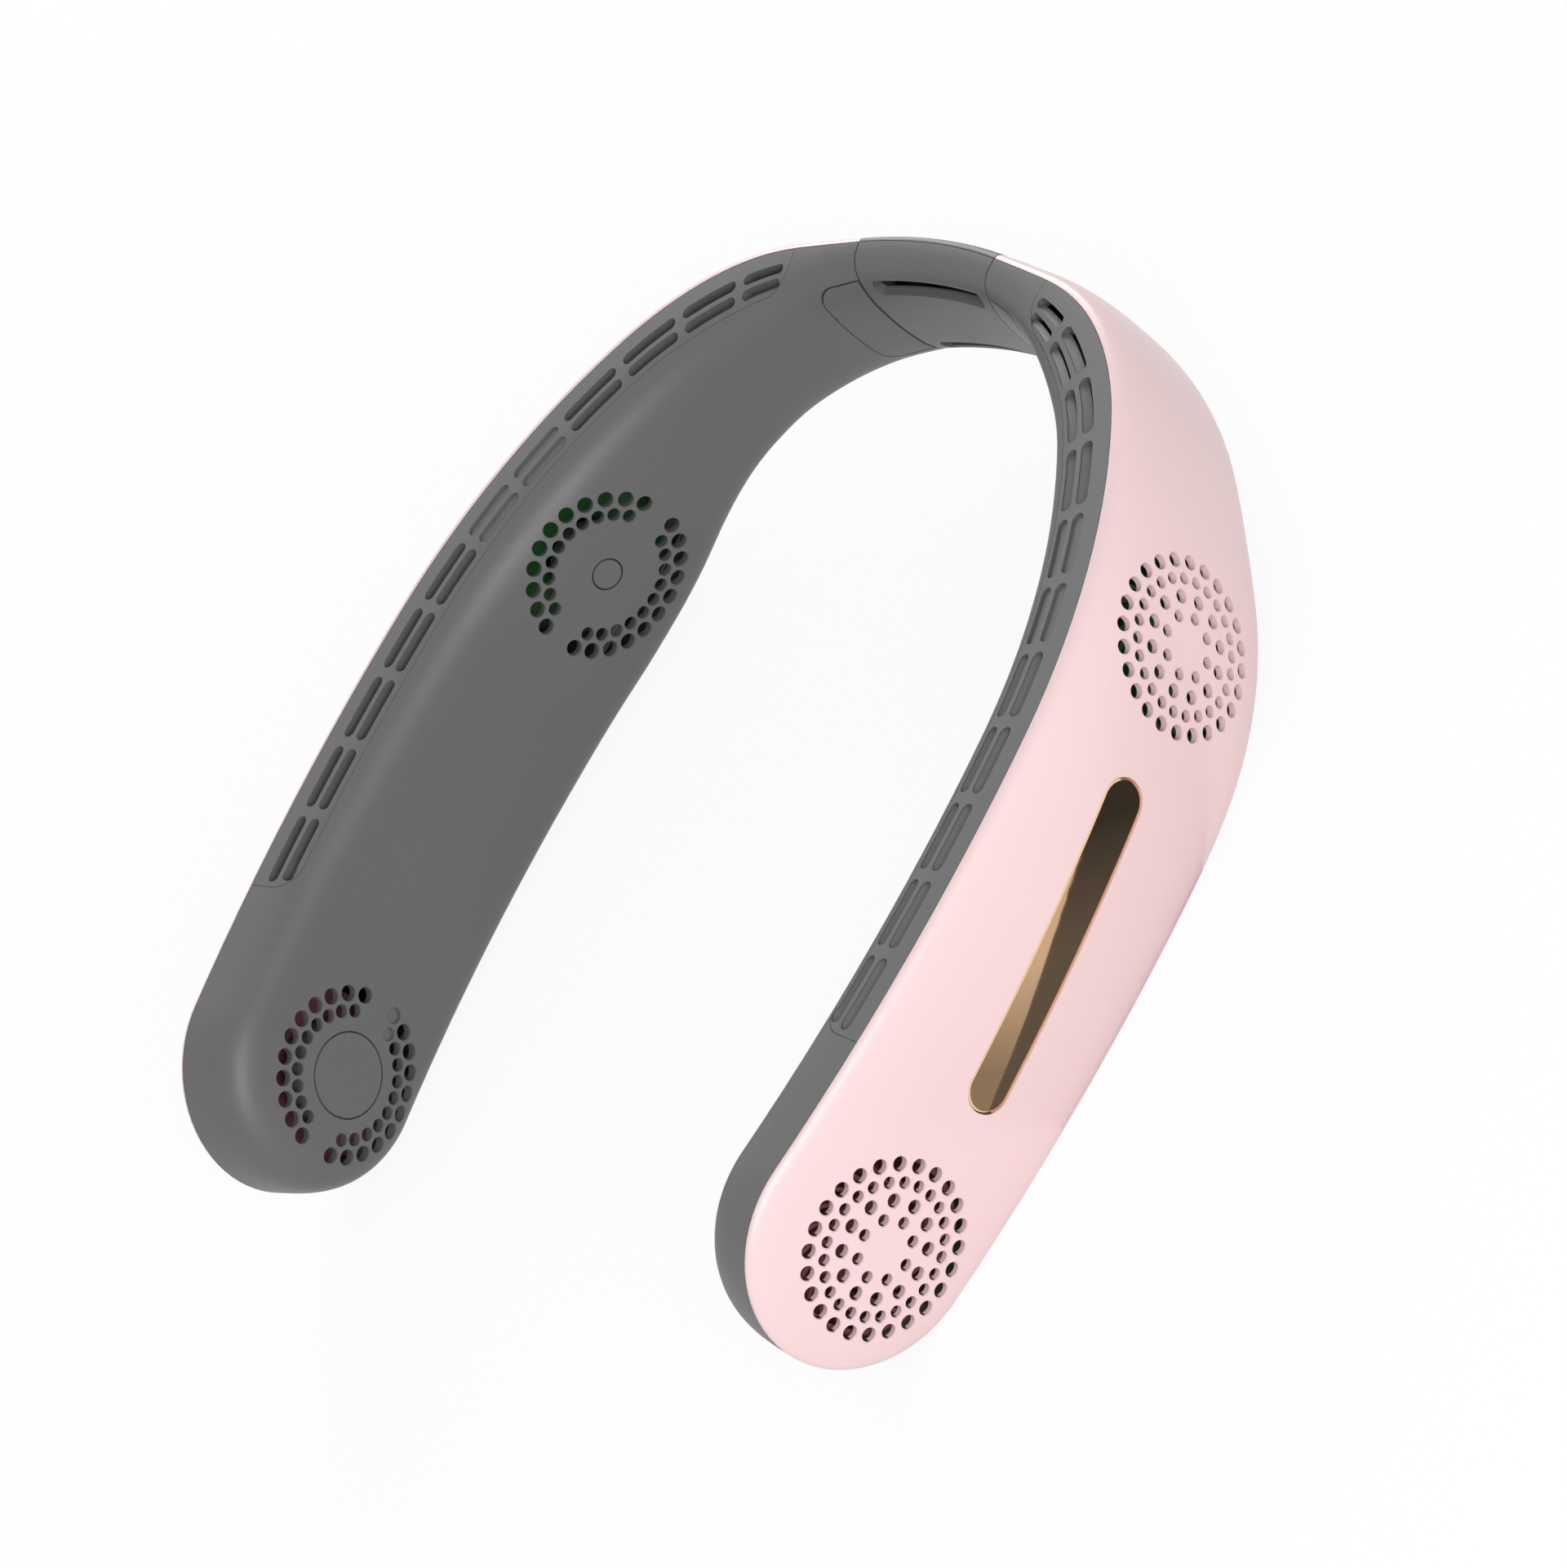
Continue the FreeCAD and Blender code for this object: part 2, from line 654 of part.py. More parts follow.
def tongue_box(gap, height_gap, end):
    """The tongue's path from the hinge axis into the arm."""
    half = TONGUE_THICKNESS / 2 + gap
    tall = EYE_HEIGHT / 2 + height_gap
    return block(SEAM_FRAME, (HINGE_ALONG, end), (HINGE_OFF - half, HINGE_OFF + half),
                 (HINGE_MID - tall, HINGE_MID + tall))


def screw_places():
    return [HINGE_MID - SCREW_SPACING / 2, HINGE_MID + SCREW_SPACING / 2]


SCREW_SURFACE = Section(SEAM + SCREW_ALONG).reach_at(1, HINGE_MID + SCREW_SPACING / 2)
SCREW_HEAD_OUT = SCREW_SURFACE - INSERT_DEPTH - SCREW_HEAD_SINK


def panel_prism(gap):
    """D-shaped outline of the hinge cover on the inner face, pushed through the wall."""
    frame = SEAM_FRAME
    section = Section(SEAM)
    end = SEAM_GAP / 2 + PANEL_LENGTH + gap
    low = section.bottom + PANEL_BOTTOM - gap
    high = section.top - PANEL_TOP + gap
    r = PANEL_CORNER
    d = r * (1 - math.sqrt(0.5))

    def p(along, z):
        return frame.at(along, BRIDGE_FLAT, z)

    edges = [Part.makeLine(p(-OVERRUN, low), p(end - r, low)),
             arc(p(end - r, low), p(end - d, low + d), p(end, low + r)),
             Part.makeLine(p(end, low + r), p(end, high - r)),
             arc(p(end, high - r), p(end - d, high - d), p(end - r, high)),
             Part.makeLine(p(end - r, high), p(-OVERRUN, high)),
             Part.makeLine(p(-OVERRUN, high), p(-OVERRUN, low))]
    face = Part.Face(Part.Wire(edges))
    return face.extrude(frame.inward * ARM_DEPTH)


def plate_prism(gap):
    """Stadium outline of the name plate, pushed through the cover's skin."""
    frame = Frame(SEAM + PLATE_RUN)
    z = ARM_HEIGHT - PLATE_DEPTH
    half = (PLATE_LENGTH - PLATE_WIDTH) / 2
    r = PLATE_WIDTH / 2 + gap
    tilt = math.radians(PLATE_TILT)

    def p(x, y):
        along = x * math.cos(tilt) + y * math.sin(tilt)
        rise = y * math.cos(tilt) - x * math.sin(tilt)
        return frame.at(along, -ARM_BULGE - OVERRUN, z + rise)

    edges = [Part.makeLine(p(-half, -r), p(half, -r)), arc(p(half, -r), p(half + r, 0), p(half, r)),
             Part.makeLine(p(half, r), p(-half, r)), arc(p(-half, r), p(-half - r, 0), p(-half, -r))]
    face = Part.Face(Part.Wire(edges))
    return face.extrude(frame.inward * (ARM_BULGE + OVERRUN))


# Outer cover of one arm
def below_rest():
    """Space under the plane on which the arms stand."""
    return Part.makeBox(TIP * 2, TIP * 2, OVERRUN, Vector(-TIP, -TIP, -OVERRUN))


def make_cover():
    stations = arm_stations()
    body = loft(cover_items, stations)
    a, b = Section(TIP), Section(TIP, -WALL)
    tip = tip_turn(cover_items(TIP), [(-a.bulge, -b.bulge)])
    wall = loft(lambda s: plug_items(s, -1), [ARM_START, ARM_START + WALL])
    body = body.fuse([tip, wall])
    cuts = rosette(REAR) + rosette(FRONT) + [below_rest()]
    cuts.append(tongue_box(SLIDE_GAP, SLIDE_GAP, SEAM_GAP / 2 + WALL + OVERRUN))
    return solid(body.cut(cuts))


# Inner shell of one arm before its inserts are let in
def make_raw_shell():
    stations = arm_stations()
    body = loft(shell_items, stations)
    a, b = Section(TIP), Section(TIP, -WALL)
    tip = tip_turn(shell_items(TIP), [(b.depth, a.depth)])
    wall = loft(lambda s: plug_items(s, 1), [ARM_START, ARM_START + WALL])
    return solid(body.fuse([tip, wall]).cut(below_rest()))


def segments():
    """Starts and ends of the strip's slots along the arm."""
    low = SEAM + STRIP_START_RUN
    length = STRIP_END_RUN - STRIP_START_RUN
    places = [low + share * length for share in RIB_SHARES]
    out = []
    last = len(places) - 2
    for i in range(last + 1):
        start = places[i] + (SLOT_START_MARGIN if i == 0 else SLOT_RIB / 2)
        end = places[i + 1] - (SLOT_END_MARGIN if i == last else SLOT_RIB / 2)
        out.append((start, end))
    return out


def ramp(start, end, low_off, high_off):
    """Space above a slot's ramp, which falls outward from the inner edge to a slit right through."""
    slit = (high_off - low_off) * SLOT_SLIT_SHARE

    def items(s):
        section = Section(s)
        scale = strip_scale(s - SEAM)
        near, far = low_off * scale, high_off * scale
        over = section.top + OVERRUN
        lip = rim_height(section, far) - SLOT_LIP
        foot = rim_height(section, near) - SLOT_RAMP_DEPTH
        below = section.top - COLLAR_DEPTH * 2
        edge = near + slit * scale
        corners = [(near - OVERRUN, below), (near - OVERRUN, over), (far + OVERRUN, over),
                   (far + OVERRUN, lip), (far, lip), (edge, foot), (edge, below)]
        return list(zip(corners, corners[1:] + corners[:1]))

    return loft(items, spread(start - SLOT_RIB / 4, end + SLOT_RIB / 4, 5))


def strip_slots():
    """Cutters for the strip's slots."""
    top = ARM_HEIGHT + OVERRUN / 2
    low = ARM_HEIGHT - COLLAR_DEPTH * 3 / 2
    tools = []
    spans = segments()
    for i, (start, end) in enumerate(spans):
        if i in BLIND_SEGMENTS:
            continue
        for low_off, high_off in ((SLOT_OUTER_START, SLOT_OUTER_END), (SLOT_INNER_START, SLOT_INNER_END)):
            inner_row = low_off == SLOT_INNER_START
            first = STRIP_CORNER / 6 if i == 0 and inner_row else 0.0
            final = STRIP_CORNER / 2 if i == len(spans) - 1 and inner_row else 0.0
            plan_prism = slot_prism(start, end, low_off, high_off, low, top, first, final)
            tools.append(plan_prism.common(ramp(start, end, low_off, high_off)))
    return tools


def blind_grooves(groove_skin):
    """Shallow grooves of the strip beside the rear fan."""
    top = ARM_HEIGHT + OVERRUN
    low = ARM_HEIGHT / 2
    spans = segments()
    tools = []
    for i in BLIND_SEGMENTS:
        start, end = spans[i]
        for low_off, high_off in ((SLOT_OUTER_START, SLOT_OUTER_END), (SLOT_INNER_START, SLOT_INNER_END)):
            tools.append(slot_prism(start, end, low_off, high_off, low, top).common(groove_skin))
    return tools


def vent_windows(gap):
    """Plan of the two long openings that the strip's collars pass through."""
    spans = segments()
    groups = [spans[:min(BLIND_SEGMENTS)], spans[max(BLIND_SEGMENTS) + 1:]]
    wall = COLLAR_WALL + gap
    low, top = ARM_HEIGHT - COLLAR_DEPTH * 2, ARM_HEIGHT + OVERRUN
    within = strip_prism(gap - COLLAR_LEDGE)
    return [window_prism(group[0][0] - wall, group[-1][1] + wall, SLOT_OUTER_START - wall,
                         SLOT_INNER_END + wall, low, top).common(within) for group in groups]


# Chamber behind the button, along the front fan's axis
BUTTON_SEAT = FRONT_SECTION.depth - WALL - BUTTON_SEAT_DEPTH
FLANGE_RADIUS = BUTTON_RADIUS + BUTTON_FLANGE
CHAMBER_RADIUS = FLANGE_RADIUS + CHAMBER_SLACK
CHAMBER_OUTER = CHAMBER_RADIUS + CHAMBER_WALL
MOUNT_SEAT = FRONT_MOTOR_SEAT + MOUNT_THICKNESS
FLANGE_LOW = BUTTON_SEAT - RUN_GAP - BUTTON_FLANGE_THICKNESS
BOARD_TOP = MOUNT_SEAT + BOARD_THICKNESS
SWITCH_TOP = BOARD_TOP + SWITCH_HEIGHT


def shell_bosses():
    """Seats inside the shell: front chamber, rear pedestal, battery pads, hinge pad."""
    front_end = FRONT_SECTION.depth - WALL / 2
    chamber = FRONT.rod(MOUNT_SEAT, front_end, CHAMBER_OUTER)
    chamber = chamber.cut([FRONT.rod(MOUNT_SEAT - OVERRUN, BUTTON_SEAT, CHAMBER_RADIUS),
                           FRONT.rod(BUTTON_SEAT - OVERRUN, front_end + OVERRUN, BUTTON_RADIUS)])
    rear_end = REAR_SECTION.depth - WALL / 2
    pedestal = REAR.rod(REAR_MOTOR_SEAT, rear_end, PEDESTAL_RADIUS)
    frame = Frame(SEAM + BATTERY_RUN)
    pads = []
    for place in (-BATTERY_LENGTH / 2 + BATTERY_PAD, BATTERY_LENGTH / 2 - BATTERY_PAD):
        depth = Section(SEAM + BATTERY_RUN + place).depth
        there = Frame(SEAM + BATTERY_RUN + place)
        end = (there.at(0, depth, 0) - frame.base).dot(frame.inward) - WALL / 2
        low = ARM_HEIGHT / 2 - BATTERY_PAD
        pads.append(block(frame, (place - BATTERY_PAD / 2, place + BATTERY_PAD / 2),
                          (BATTERY_SEAT, end), (low, low + 2 * BATTERY_PAD)))
    start = SEAM_GAP / 2 + WALL / 2
    pad = block(SEAM_FRAME, (start, SEAM_GAP / 2 + WALL + BLOCK_LENGTH),
                (BLOCK_INNER, SCREW_SURFACE + BLOCK_INNER / 2),
                (HINGE_MID - BLOCK_HEIGHT / 2, HINGE_MID + BLOCK_HEIGHT / 2))
    room = loft(lambda s: plug_items(s, 1, (WALL + INSERT_DEPTH) / 2),
                spread(ARM_START, ARM_START + BLOCK_LENGTH * 2, 6))
    pad = pad.common(room)
    return [chamber, pedestal, pad] + pads


def socket_shape(gap, low, high):
    """Stadium prism for the charging socket and its opening."""
    frame = Frame(SEAM + SOCKET_RUN)
    r = SOCKET_WIDTH / 2 + gap
    half = (SOCKET_LENGTH - SOCKET_WIDTH) / 2
    off = SOCKET_OFFSET

    def p(along, across):
        return frame.at(along, off + across, low)

    edges = [Part.makeLine(p(-half, -r), p(half, -r)), arc(p(half, -r), p(half + r, 0), p(half, r)),
             Part.makeLine(p(half, r), p(-half, r)), arc(p(-half, r), p(-half - r, 0), p(-half, -r))]
    return Part.Face(Part.Wire(edges)).extrude(Vector(0, 0, high - low))


def finish_shell(raw, strip_pocket, panel_pocket):
    cuts = [strip_pocket, panel_pocket] + vent_windows(INSERT_GAP)
    cuts += outlet_rings(REAR, False) + outlet_rings(FRONT, True)
    cuts.append(FRONT.rod(BUTTON_SEAT - OVERRUN, FRONT_SECTION.depth + OVERRUN, BUTTON_RADIUS))
    cuts.append(REAR.rod(REAR_SECTION.depth - REAR_CAP_DEPTH, REAR_SECTION.depth + OVERRUN, REAR_CAP_RADIUS))
    cuts.append(tongue_box(SLIDE_GAP, SLIDE_GAP, SEAM_GAP / 2 + WALL + OVERRUN))
    for z in screw_places():
        cuts.append(cylinder(SEAM_FRAME, SCREW_ALONG, z, BLOCK_INNER - OVERRUN,
                             SCREW_HEAD_OUT - SCREW_HEAD_HEIGHT / 2, SCREW_RADIUS))
        cuts.append(cylinder(SEAM_FRAME, SCREW_ALONG, z, SCREW_HEAD_OUT - SCREW_HEAD_HEIGHT,
                             SCREW_HEAD_OUT + OVERRUN, SCREW_HEAD_RADIUS))
    return solid(raw.fuse(shell_bosses()).cut(cuts))


def with_socket_seat(shell):
    seat = socket_shape(SOCKET_FLANGE, WALL / 2, WALL + SOCKET_SEAT)
    opening = socket_shape(SLIDE_GAP, -OVERRUN, WALL + SOCKET_SEAT + OVERRUN)
    return solid(shell.fuse(seat).cut(opening))


# Impeller about its own axis: zero at the motor's seat, growing towards the intake
def make_impeller():
    low = IMPELLER_LIFT
    high = low + IMPELLER_HEIGHT
    roof = MOTOR_HEIGHT + MOTOR_TOP_GAP
    plate = Part.makeCylinder(IMPELLER_RADIUS, IMPELLER_PLATE, Vector(0, 0, low))
    hub = Part.makeCylinder(HUB_RADIUS, roof + HUB_WALL - low, Vector(0, 0, low))
    rim = Part.makeCylinder(IMPELLER_RADIUS, IMPELLER_RIM, Vector(0, 0, high - IMPELLER_RIM))
    rim = rim.cut(Part.makeCylinder(IMPELLER_RADIUS - IMPELLER_RIM, high, Vector(0, 0, 0)))
    blades = []
    inner = IMPELLER_BORE_RADIUS
    outer = IMPELLER_RADIUS - BLADE_THICKNESS / 2
    sweep = math.radians(BLADE_SWEEP)
    for i in range(BLADE_COUNT):
        a = 2 * math.pi * i / BLADE_COUNT
        p = Vector(inner * math.cos(a), inner * math.sin(a), low)
        q = Vector(outer * math.cos(a + sweep), outer * math.sin(a + sweep), low)
        side = Vector(0, 0, 1).cross(q - p).normalize() * (BLADE_THICKNESS / 2)
        corners = [p + side, q + side, q - side, p - side, p + side]
        blades.append(Part.Face(Part.makePolygon(corners)).extrude(Vector(0, 0, IMPELLER_HEIGHT)))
    body = plate.fuse([hub, rim] + blades)
    bore = Part.makeCylinder(HUB_RADIUS - HUB_WALL, roof, Vector(0, 0, 0))
    hole = Part.makeCylinder(SHAFT_RADIUS, high + OVERRUN, Vector(0, 0, 0))
    return solid(body.cut([bore, hole]))


def make_motor():
    can = Part.makeCylinder(MOTOR_RADIUS, MOTOR_HEIGHT)
    top = [edge for edge in can.Edges if edge.BoundBox.ZMin > MOTOR_HEIGHT / 2 and edge.Closed]
    can = can.makeFillet(BLADE_THICKNESS, top)
    bore = Part.makeCylinder(SHAFT_RADIUS + RUN_GAP, SHAFT_SOCKET_DEPTH,
                             Vector(0, 0, MOTOR_HEIGHT - SHAFT_SOCKET_DEPTH))
    return solid(can.cut(bore))


def make_shaft():
    low = MOTOR_HEIGHT - SHAFT_SOCKET_DEPTH + RUN_GAP
    return Part.makeCylinder(SHAFT_RADIUS, MOTOR_HEIGHT + MOTOR_TOP_GAP + HUB_WALL - low, Vector(0, 0, low))


def on_axis(shape, fan):
    """A shape made about +Z, set on the fan's axis facing the intake."""
    out = shape.copy()
    turn = FreeCAD.Rotation(Vector(0, 0, 1), fan.frame.inward * -1)
    out.Placement = FreeCAD.Placement(fan.frame.at(0, fan.seat, fan.z), turn)
    return out


def make_mount():
    plate = FRONT.rod(FRONT_MOTOR_SEAT, MOUNT_SEAT, CHAMBER_OUTER)
    return plate


def make_disc(raw, gap):
    """The front disc cut from the shell's wall, with its flange behind."""
    disc = raw.common(FRONT.rod(BUTTON_SEAT, FRONT_SECTION.depth + OVERRUN, BUTTON_RADIUS - gap))
    stem = FRONT.rod(FLANGE_LOW, FRONT_SECTION.depth - WALL / 2, BUTTON_RADIUS - gap)
    flange = FRONT.rod(FLANGE_LOW, FLANGE_LOW + BUTTON_FLANGE_THICKNESS, FLANGE_RADIUS)
    return solid(disc.fuse([stem, flange]))


def make_rear_cap(raw):
    cap = raw.common(REAR.rod(REAR_SECTION.depth - WALL / 2, REAR_SECTION.depth + OVERRUN,
                              REAR_CAP_RADIUS - INSERT_GAP))
    stem = REAR.rod(REAR_SECTION.depth - REAR_CAP_DEPTH, REAR_SECTION.depth - WALL / 3,
                    REAR_CAP_RADIUS - INSERT_GAP)
    return solid(cap.fuse(stem))


def make_board():
    return FRONT.rod(MOUNT_SEAT, BOARD_TOP, CHAMBER_RADIUS - BOARD_MARGIN)


def make_switch():
    half = SWITCH_SIDE / 2
    body = block(FRONT.frame, (-half, half), (BOARD_TOP, SWITCH_TOP), (FRONT.z - half, FRONT.z + half))
    plunger = FRONT.rod(SWITCH_TOP - SWITCH_HEIGHT / 2, FLANGE_LOW - BUTTON_TRAVEL - PLUNGER_GAP, PLUNGER_RADIUS)
    return solid(body.fuse(plunger))


def make_battery():
    frame = Frame(SEAM + BATTERY_RUN)
    half = BATTERY_LENGTH / 2
    box = block(frame, (-half, half), (BATTERY_SEAT - BATTERY_THICKNESS, BATTERY_SEAT),
                (BATTERY_FLOOR, BATTERY_FLOOR + BATTERY_HEIGHT))
    return solid(box.makeFillet(BATTERY_ROUND, box.Edges))


def make_socket():
    low = SOCKET_RECESS
    high = low + SOCKET_DEPTH
    seat = WALL + SOCKET_SEAT
    body = socket_shape(0, low, high)
    flange = socket_shape(SOCKET_FLANGE, seat, seat + SOCKET_FLANGE_THICKNESS)
    hollow = socket_shape(-SOCKET_WALL, low - OVERRUN, high - SOCKET_WALL * 2)
    frame = Frame(SEAM + SOCKET_RUN)
    half = (SOCKET_LENGTH - SOCKET_WIDTH) / 2
    tongue = block(frame, (-half, half), (SOCKET_OFFSET - SOCKET_TONGUE / 2, SOCKET_OFFSET + SOCKET_TONGUE / 2),
                   (low + SOCKET_TONGUE, high - SOCKET_WALL))
    return solid(body.fuse(flange).cut(hollow).fuse(tongue))


def make_knuckle():
    """Block inside the arm with a tongue whose eye turns on the hinge pin."""
    tall = EYE_HEIGHT / 2
    start = SEAM_GAP / 2 + WALL + SLIDE_GAP
    eye = upright(EYE_RADIUS, HINGE_MID - tall, HINGE_MID + tall)
    tongue = tongue_box(0, 0, start + BLOCK_LENGTH / 2)
    body = block(SEAM_FRAME, (start, SEAM_GAP / 2 + WALL + BLOCK_LENGTH), (-BLOCK_OUTER, BLOCK_INNER),
                 (HINGE_MID - BLOCK_HEIGHT / 2, HINGE_MID + BLOCK_HEIGHT / 2))
    body = body.fuse([eye, tongue])
    cuts = [upright(PIN_RADIUS + RUN_GAP, HINGE_MID - EYE_HEIGHT, HINGE_MID + EYE_HEIGHT)]
    for z in screw_places():
        cuts.append(cylinder(SEAM_FRAME, SCREW_ALONG, z, BLOCK_INNER - SCREW_DEPTH,
                             BLOCK_INNER + OVERRUN, SCREW_RADIUS))
    return solid(body.cut(cuts))


def make_screws():
    out = []
    for z in screw_places():
        shank = cylinder(SEAM_FRAME, SCREW_ALONG, z, BLOCK_INNER - SCREW_DEPTH, SCREW_HEAD_OUT, SCREW_RADIUS)
        head = cylinder(SEAM_FRAME, SCREW_ALONG, z, SCREW_HEAD_OUT - SCREW_HEAD_HEIGHT, SCREW_HEAD_OUT,
                        SCREW_HEAD_RADIUS)
        out.append(solid(shank.fuse(head)))
    return Part.makeCompound(out)


# Bridge, turned about the centre of its arc
BRIDGE_CENTRE = Vector(0, -BRIDGE_RADIUS, 0)


def bridge_turn(items, start, end):
    """Section turned about the bridge's upright axis between two runs."""
    wire = outline(Frame(0), items)
    face = Part.Face(wire)
    first = -math.degrees(start / BRIDGE_RADIUS)
    face.rotate(BRIDGE_CENTRE, Vector(0, 0, 1), first)
    return face.revolve(BRIDGE_CENTRE, Vector(0, 0, -1), math.degrees((end - start) / BRIDGE_RADIUS))


def bridge_hinge_cuts():
    tall = EYE_HEIGHT / 2 + EYE_GAP
    pocket = upright(EYE_RADIUS + EYE_GAP, HINGE_MID - tall, HINGE_MID + tall)
    swing = tongue_box(TONGUE_SWING_GAP, EYE_GAP, SEAM_GAP)
    return [pocket, swing]


def mirrored(shape):
    return shape.mirror(Vector(0, 0, 0), Vector(1, 0, 0))


def both(shapes):
    return shapes + [mirrored(shape) for shape in shapes]


def pin_bosses(radius):
    tall = EYE_HEIGHT / 2 + EYE_GAP
    return [upright(radius, HINGE_MID + tall, HINGE_MID + tall + BOSS_HEIGHT),
            upright(radius, HINGE_MID - tall - BOSS_HEIGHT, HINGE_MID - tall)]


def bridge_slots():
    """Two long slots in the bridge's inner face, each with a narrower step inside."""
    section = Section(0)
    tools = []
    for z in (section.top - BRIDGE_SLOT_EDGE, section.bottom + BRIDGE_SLOT_EDGE):
        surface = section.reach_at(1, z)
        for inset, sink in ((0.0, BRIDGE_SLOT_SINK), (BRIDGE_SLOT_STEP, BRIDGE_DEPTH)):
            r = BRIDGE_SLOT_HEIGHT / 2 - inset
            half = BRIDGE_SLOT_LENGTH / 2 - BRIDGE_SLOT_HEIGHT / 2
            items = [((surface - sink, z - r), (surface + OVERRUN, z - r)),
                     ((surface + OVERRUN, z - r), (surface + OVERRUN, z + r)),
                     ((surface + OVERRUN, z + r), (surface - sink, z + r)),
                     ((surface - sink, z + r), (surface - sink, z - r))]
            tools.append(bridge_turn(items, -half, half))
            for s in (-half, half):
                frame = bridge_frame(s)
                tools.append(cylinder(frame, 0, z, surface - sink, surface + OVERRUN, r))
    return tools


def bridge_frame(s):
    """Frame on the bridge's arc on either side of its middle."""
    frame = Frame(abs(s))
    if s < 0:
        frame.base = Vector(-frame.base.x, frame.base.y, 0)
        frame.along = Vector(frame.along.x, -frame.along.y, 0)
        frame.inward = Vector(-frame.inward.x, frame.inward.y, 0)
    return frame


def make_bridge():
    outer = bridge_turn(cover_items(0), -BRIDGE_END, BRIDGE_END)
    inner = bridge_turn(shell_items(0), -BRIDGE_END, BRIDGE_END)
    outer_walls = [bridge_turn(plug_items(0, -1), BRIDGE_END - WALL, BRIDGE_END)]
    inner_walls = [bridge_turn(plug_items(0, 1), BRIDGE_END - WALL, BRIDGE_END)]
    cuts = both(bridge_hinge_cuts())
    outer = outer.fuse(both(outer_walls)).cut(cuts + both(pin_bosses(EYE_RADIUS + SLIDE_GAP)))
    inner = inner.fuse(both(inner_walls) + both(pin_bosses(EYE_RADIUS)))
    pin_hole = upright(PIN_RADIUS, HINGE_MID - PIN_LENGTH / 2, HINGE_MID + PIN_LENGTH / 2)
    inner = inner.cut(cuts + both([pin_hole]) + bridge_slots())
    return solid(outer), solid(inner)


def make_pin():
    return upright(PIN_RADIUS, HINGE_MID - PIN_LENGTH / 2, HINGE_MID + PIN_LENGTH / 2)


def build():
    nodes = {}
    cover = make_cover()
    raw = make_raw_shell()
    skin_start = ARM_START - OVERRUN
    skin_end = SEAM + STRIP_END_RUN + OVERRUN
    stations = [skin_start] + [s for s in arm_stations() if s < skin_end] + [skin_end]
    skin = loft(lambda s: shell_items(s, OVERRUN / 2, -INSERT_DEPTH, -OVERRUN / 2), stations)
    groove_skin = loft(lambda s: shell_items(s, OVERRUN / 2, -SLOT_BLIND_DEPTH, -OVERRUN / 2), stations)
    deep = loft(lambda s: shell_items(s, -INSERT_DEPTH / 2, -COLLAR_DEPTH), stations)
    collars = [deep.common(window) for window in vent_windows(0)]
    strip = raw.common(skin.common(strip_prism(0))).fuse(collars)
    strip = solid(strip.cut(strip_slots() + blind_grooves(groove_skin)))
    strip_pocket = skin.common(strip_prism(INSERT_GAP))
    panel = solid(raw.common(skin.common(panel_prism(0))))
    panel_pocket = skin.common(panel_prism(INSERT_GAP))
    shell = finish_shell(raw, strip_pocket, panel_pocket)
    shell_left = with_socket_seat(shell)
    plate_frame = SEAM + PLATE_RUN
    reach = PLATE_LENGTH
    plate_stations = spread(plate_frame - reach, plate_frame + reach, 14)
    plate_skin = loft(lambda s: outer_skin_items(s, OVERRUN, -INSERT_DEPTH), plate_stations)
    name_skin = loft(lambda s: outer_skin_items(s, -PLATE_SINK, -INSERT_DEPTH), plate_stations)
    plate = solid(name_skin.common(plate_prism(0)))
    cover_right = solid(cover.cut(plate_skin.common(plate_prism(INSERT_GAP))))
    impeller, motor, shaft = make_impeller(), make_motor(), make_shaft()
    disc = make_disc(raw, SLIDE_GAP)
    rear_cap = make_rear_cap(raw)
    one_side = {
        "vent_strip": strip, "hinge_cover": panel, "rear_cap": rear_cap, "front_motor_mount": make_mount(),
        "hinge_knuckle": make_knuckle(), "hinge_screws": make_screws(), "hinge_pin": make_pin(),
        "battery": make_battery(), "front_impeller": on_axis(impeller, FRONT),
        "rear_impeller": on_axis(impeller, REAR), "front_motor": on_axis(motor, FRONT),
        "rear_motor": on_axis(motor, REAR), "front_shaft": on_axis(shaft, FRONT),
        "rear_shaft": on_axis(shaft, REAR)}
    for name, shape in one_side.items():
        nodes["right_" + name] = shape
        nodes["left_" + name] = mirrored(shape)
    nodes["right_outer_cover"] = cover_right
    nodes["left_outer_cover"] = mirrored(cover)
    nodes["right_inner_shell"] = shell
    nodes["left_inner_shell"] = mirrored(shell_left)
    nodes["right_front_cap"] = disc
    nodes["power_button"] = mirrored(disc)
    nodes["control_board"] = mirrored(make_board())
    nodes["power_switch"] = mirrored(make_switch())
    nodes["charging_socket"] = mirrored(make_socket())
    nodes["name_plate"] = plate
    nodes["bridge_outer_shell"], nodes["bridge_inner_shell"] = make_bridge()
    return nodes


def middle_y(shapes):
    """Middle of the model's length, from its outer pieces."""
    ys = []
    for shape in shapes:
        points, facets = shape.tessellate(INSERT_GAP)
        ys += [point.y for point in points]
    return (min(ys) + max(ys)) / 2


def main():
    nodes = build()
    shift = Vector(0, -middle_y([nodes["right_outer_cover"], nodes["right_inner_shell"],
                                 nodes["bridge_outer_shell"]]), 0)
    os.makedirs("parts", exist_ok=True)
    for name, shape in nodes.items():
        shape.translate(shift)
        shape.exportStep(os.path.join("parts", name + ".step"))
        print(name, len(shape.Solids), shape.isValid(), round(shape.Volume, 1))
    for label, fan in (("front", FRONT), ("rear", REAR)):
        point = fan.frame.at(0, fan.seat, fan.z) + shift
        print(label, "axis", [round(v, 5) for v in fan.frame.inward], "at", [round(v, 4) for v in point])
    print("hinge", [round(v, 4) for v in HINGE_POINT + shift], "mid", HINGE_MID, "shift", shift.y)


main()
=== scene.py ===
import json
import math

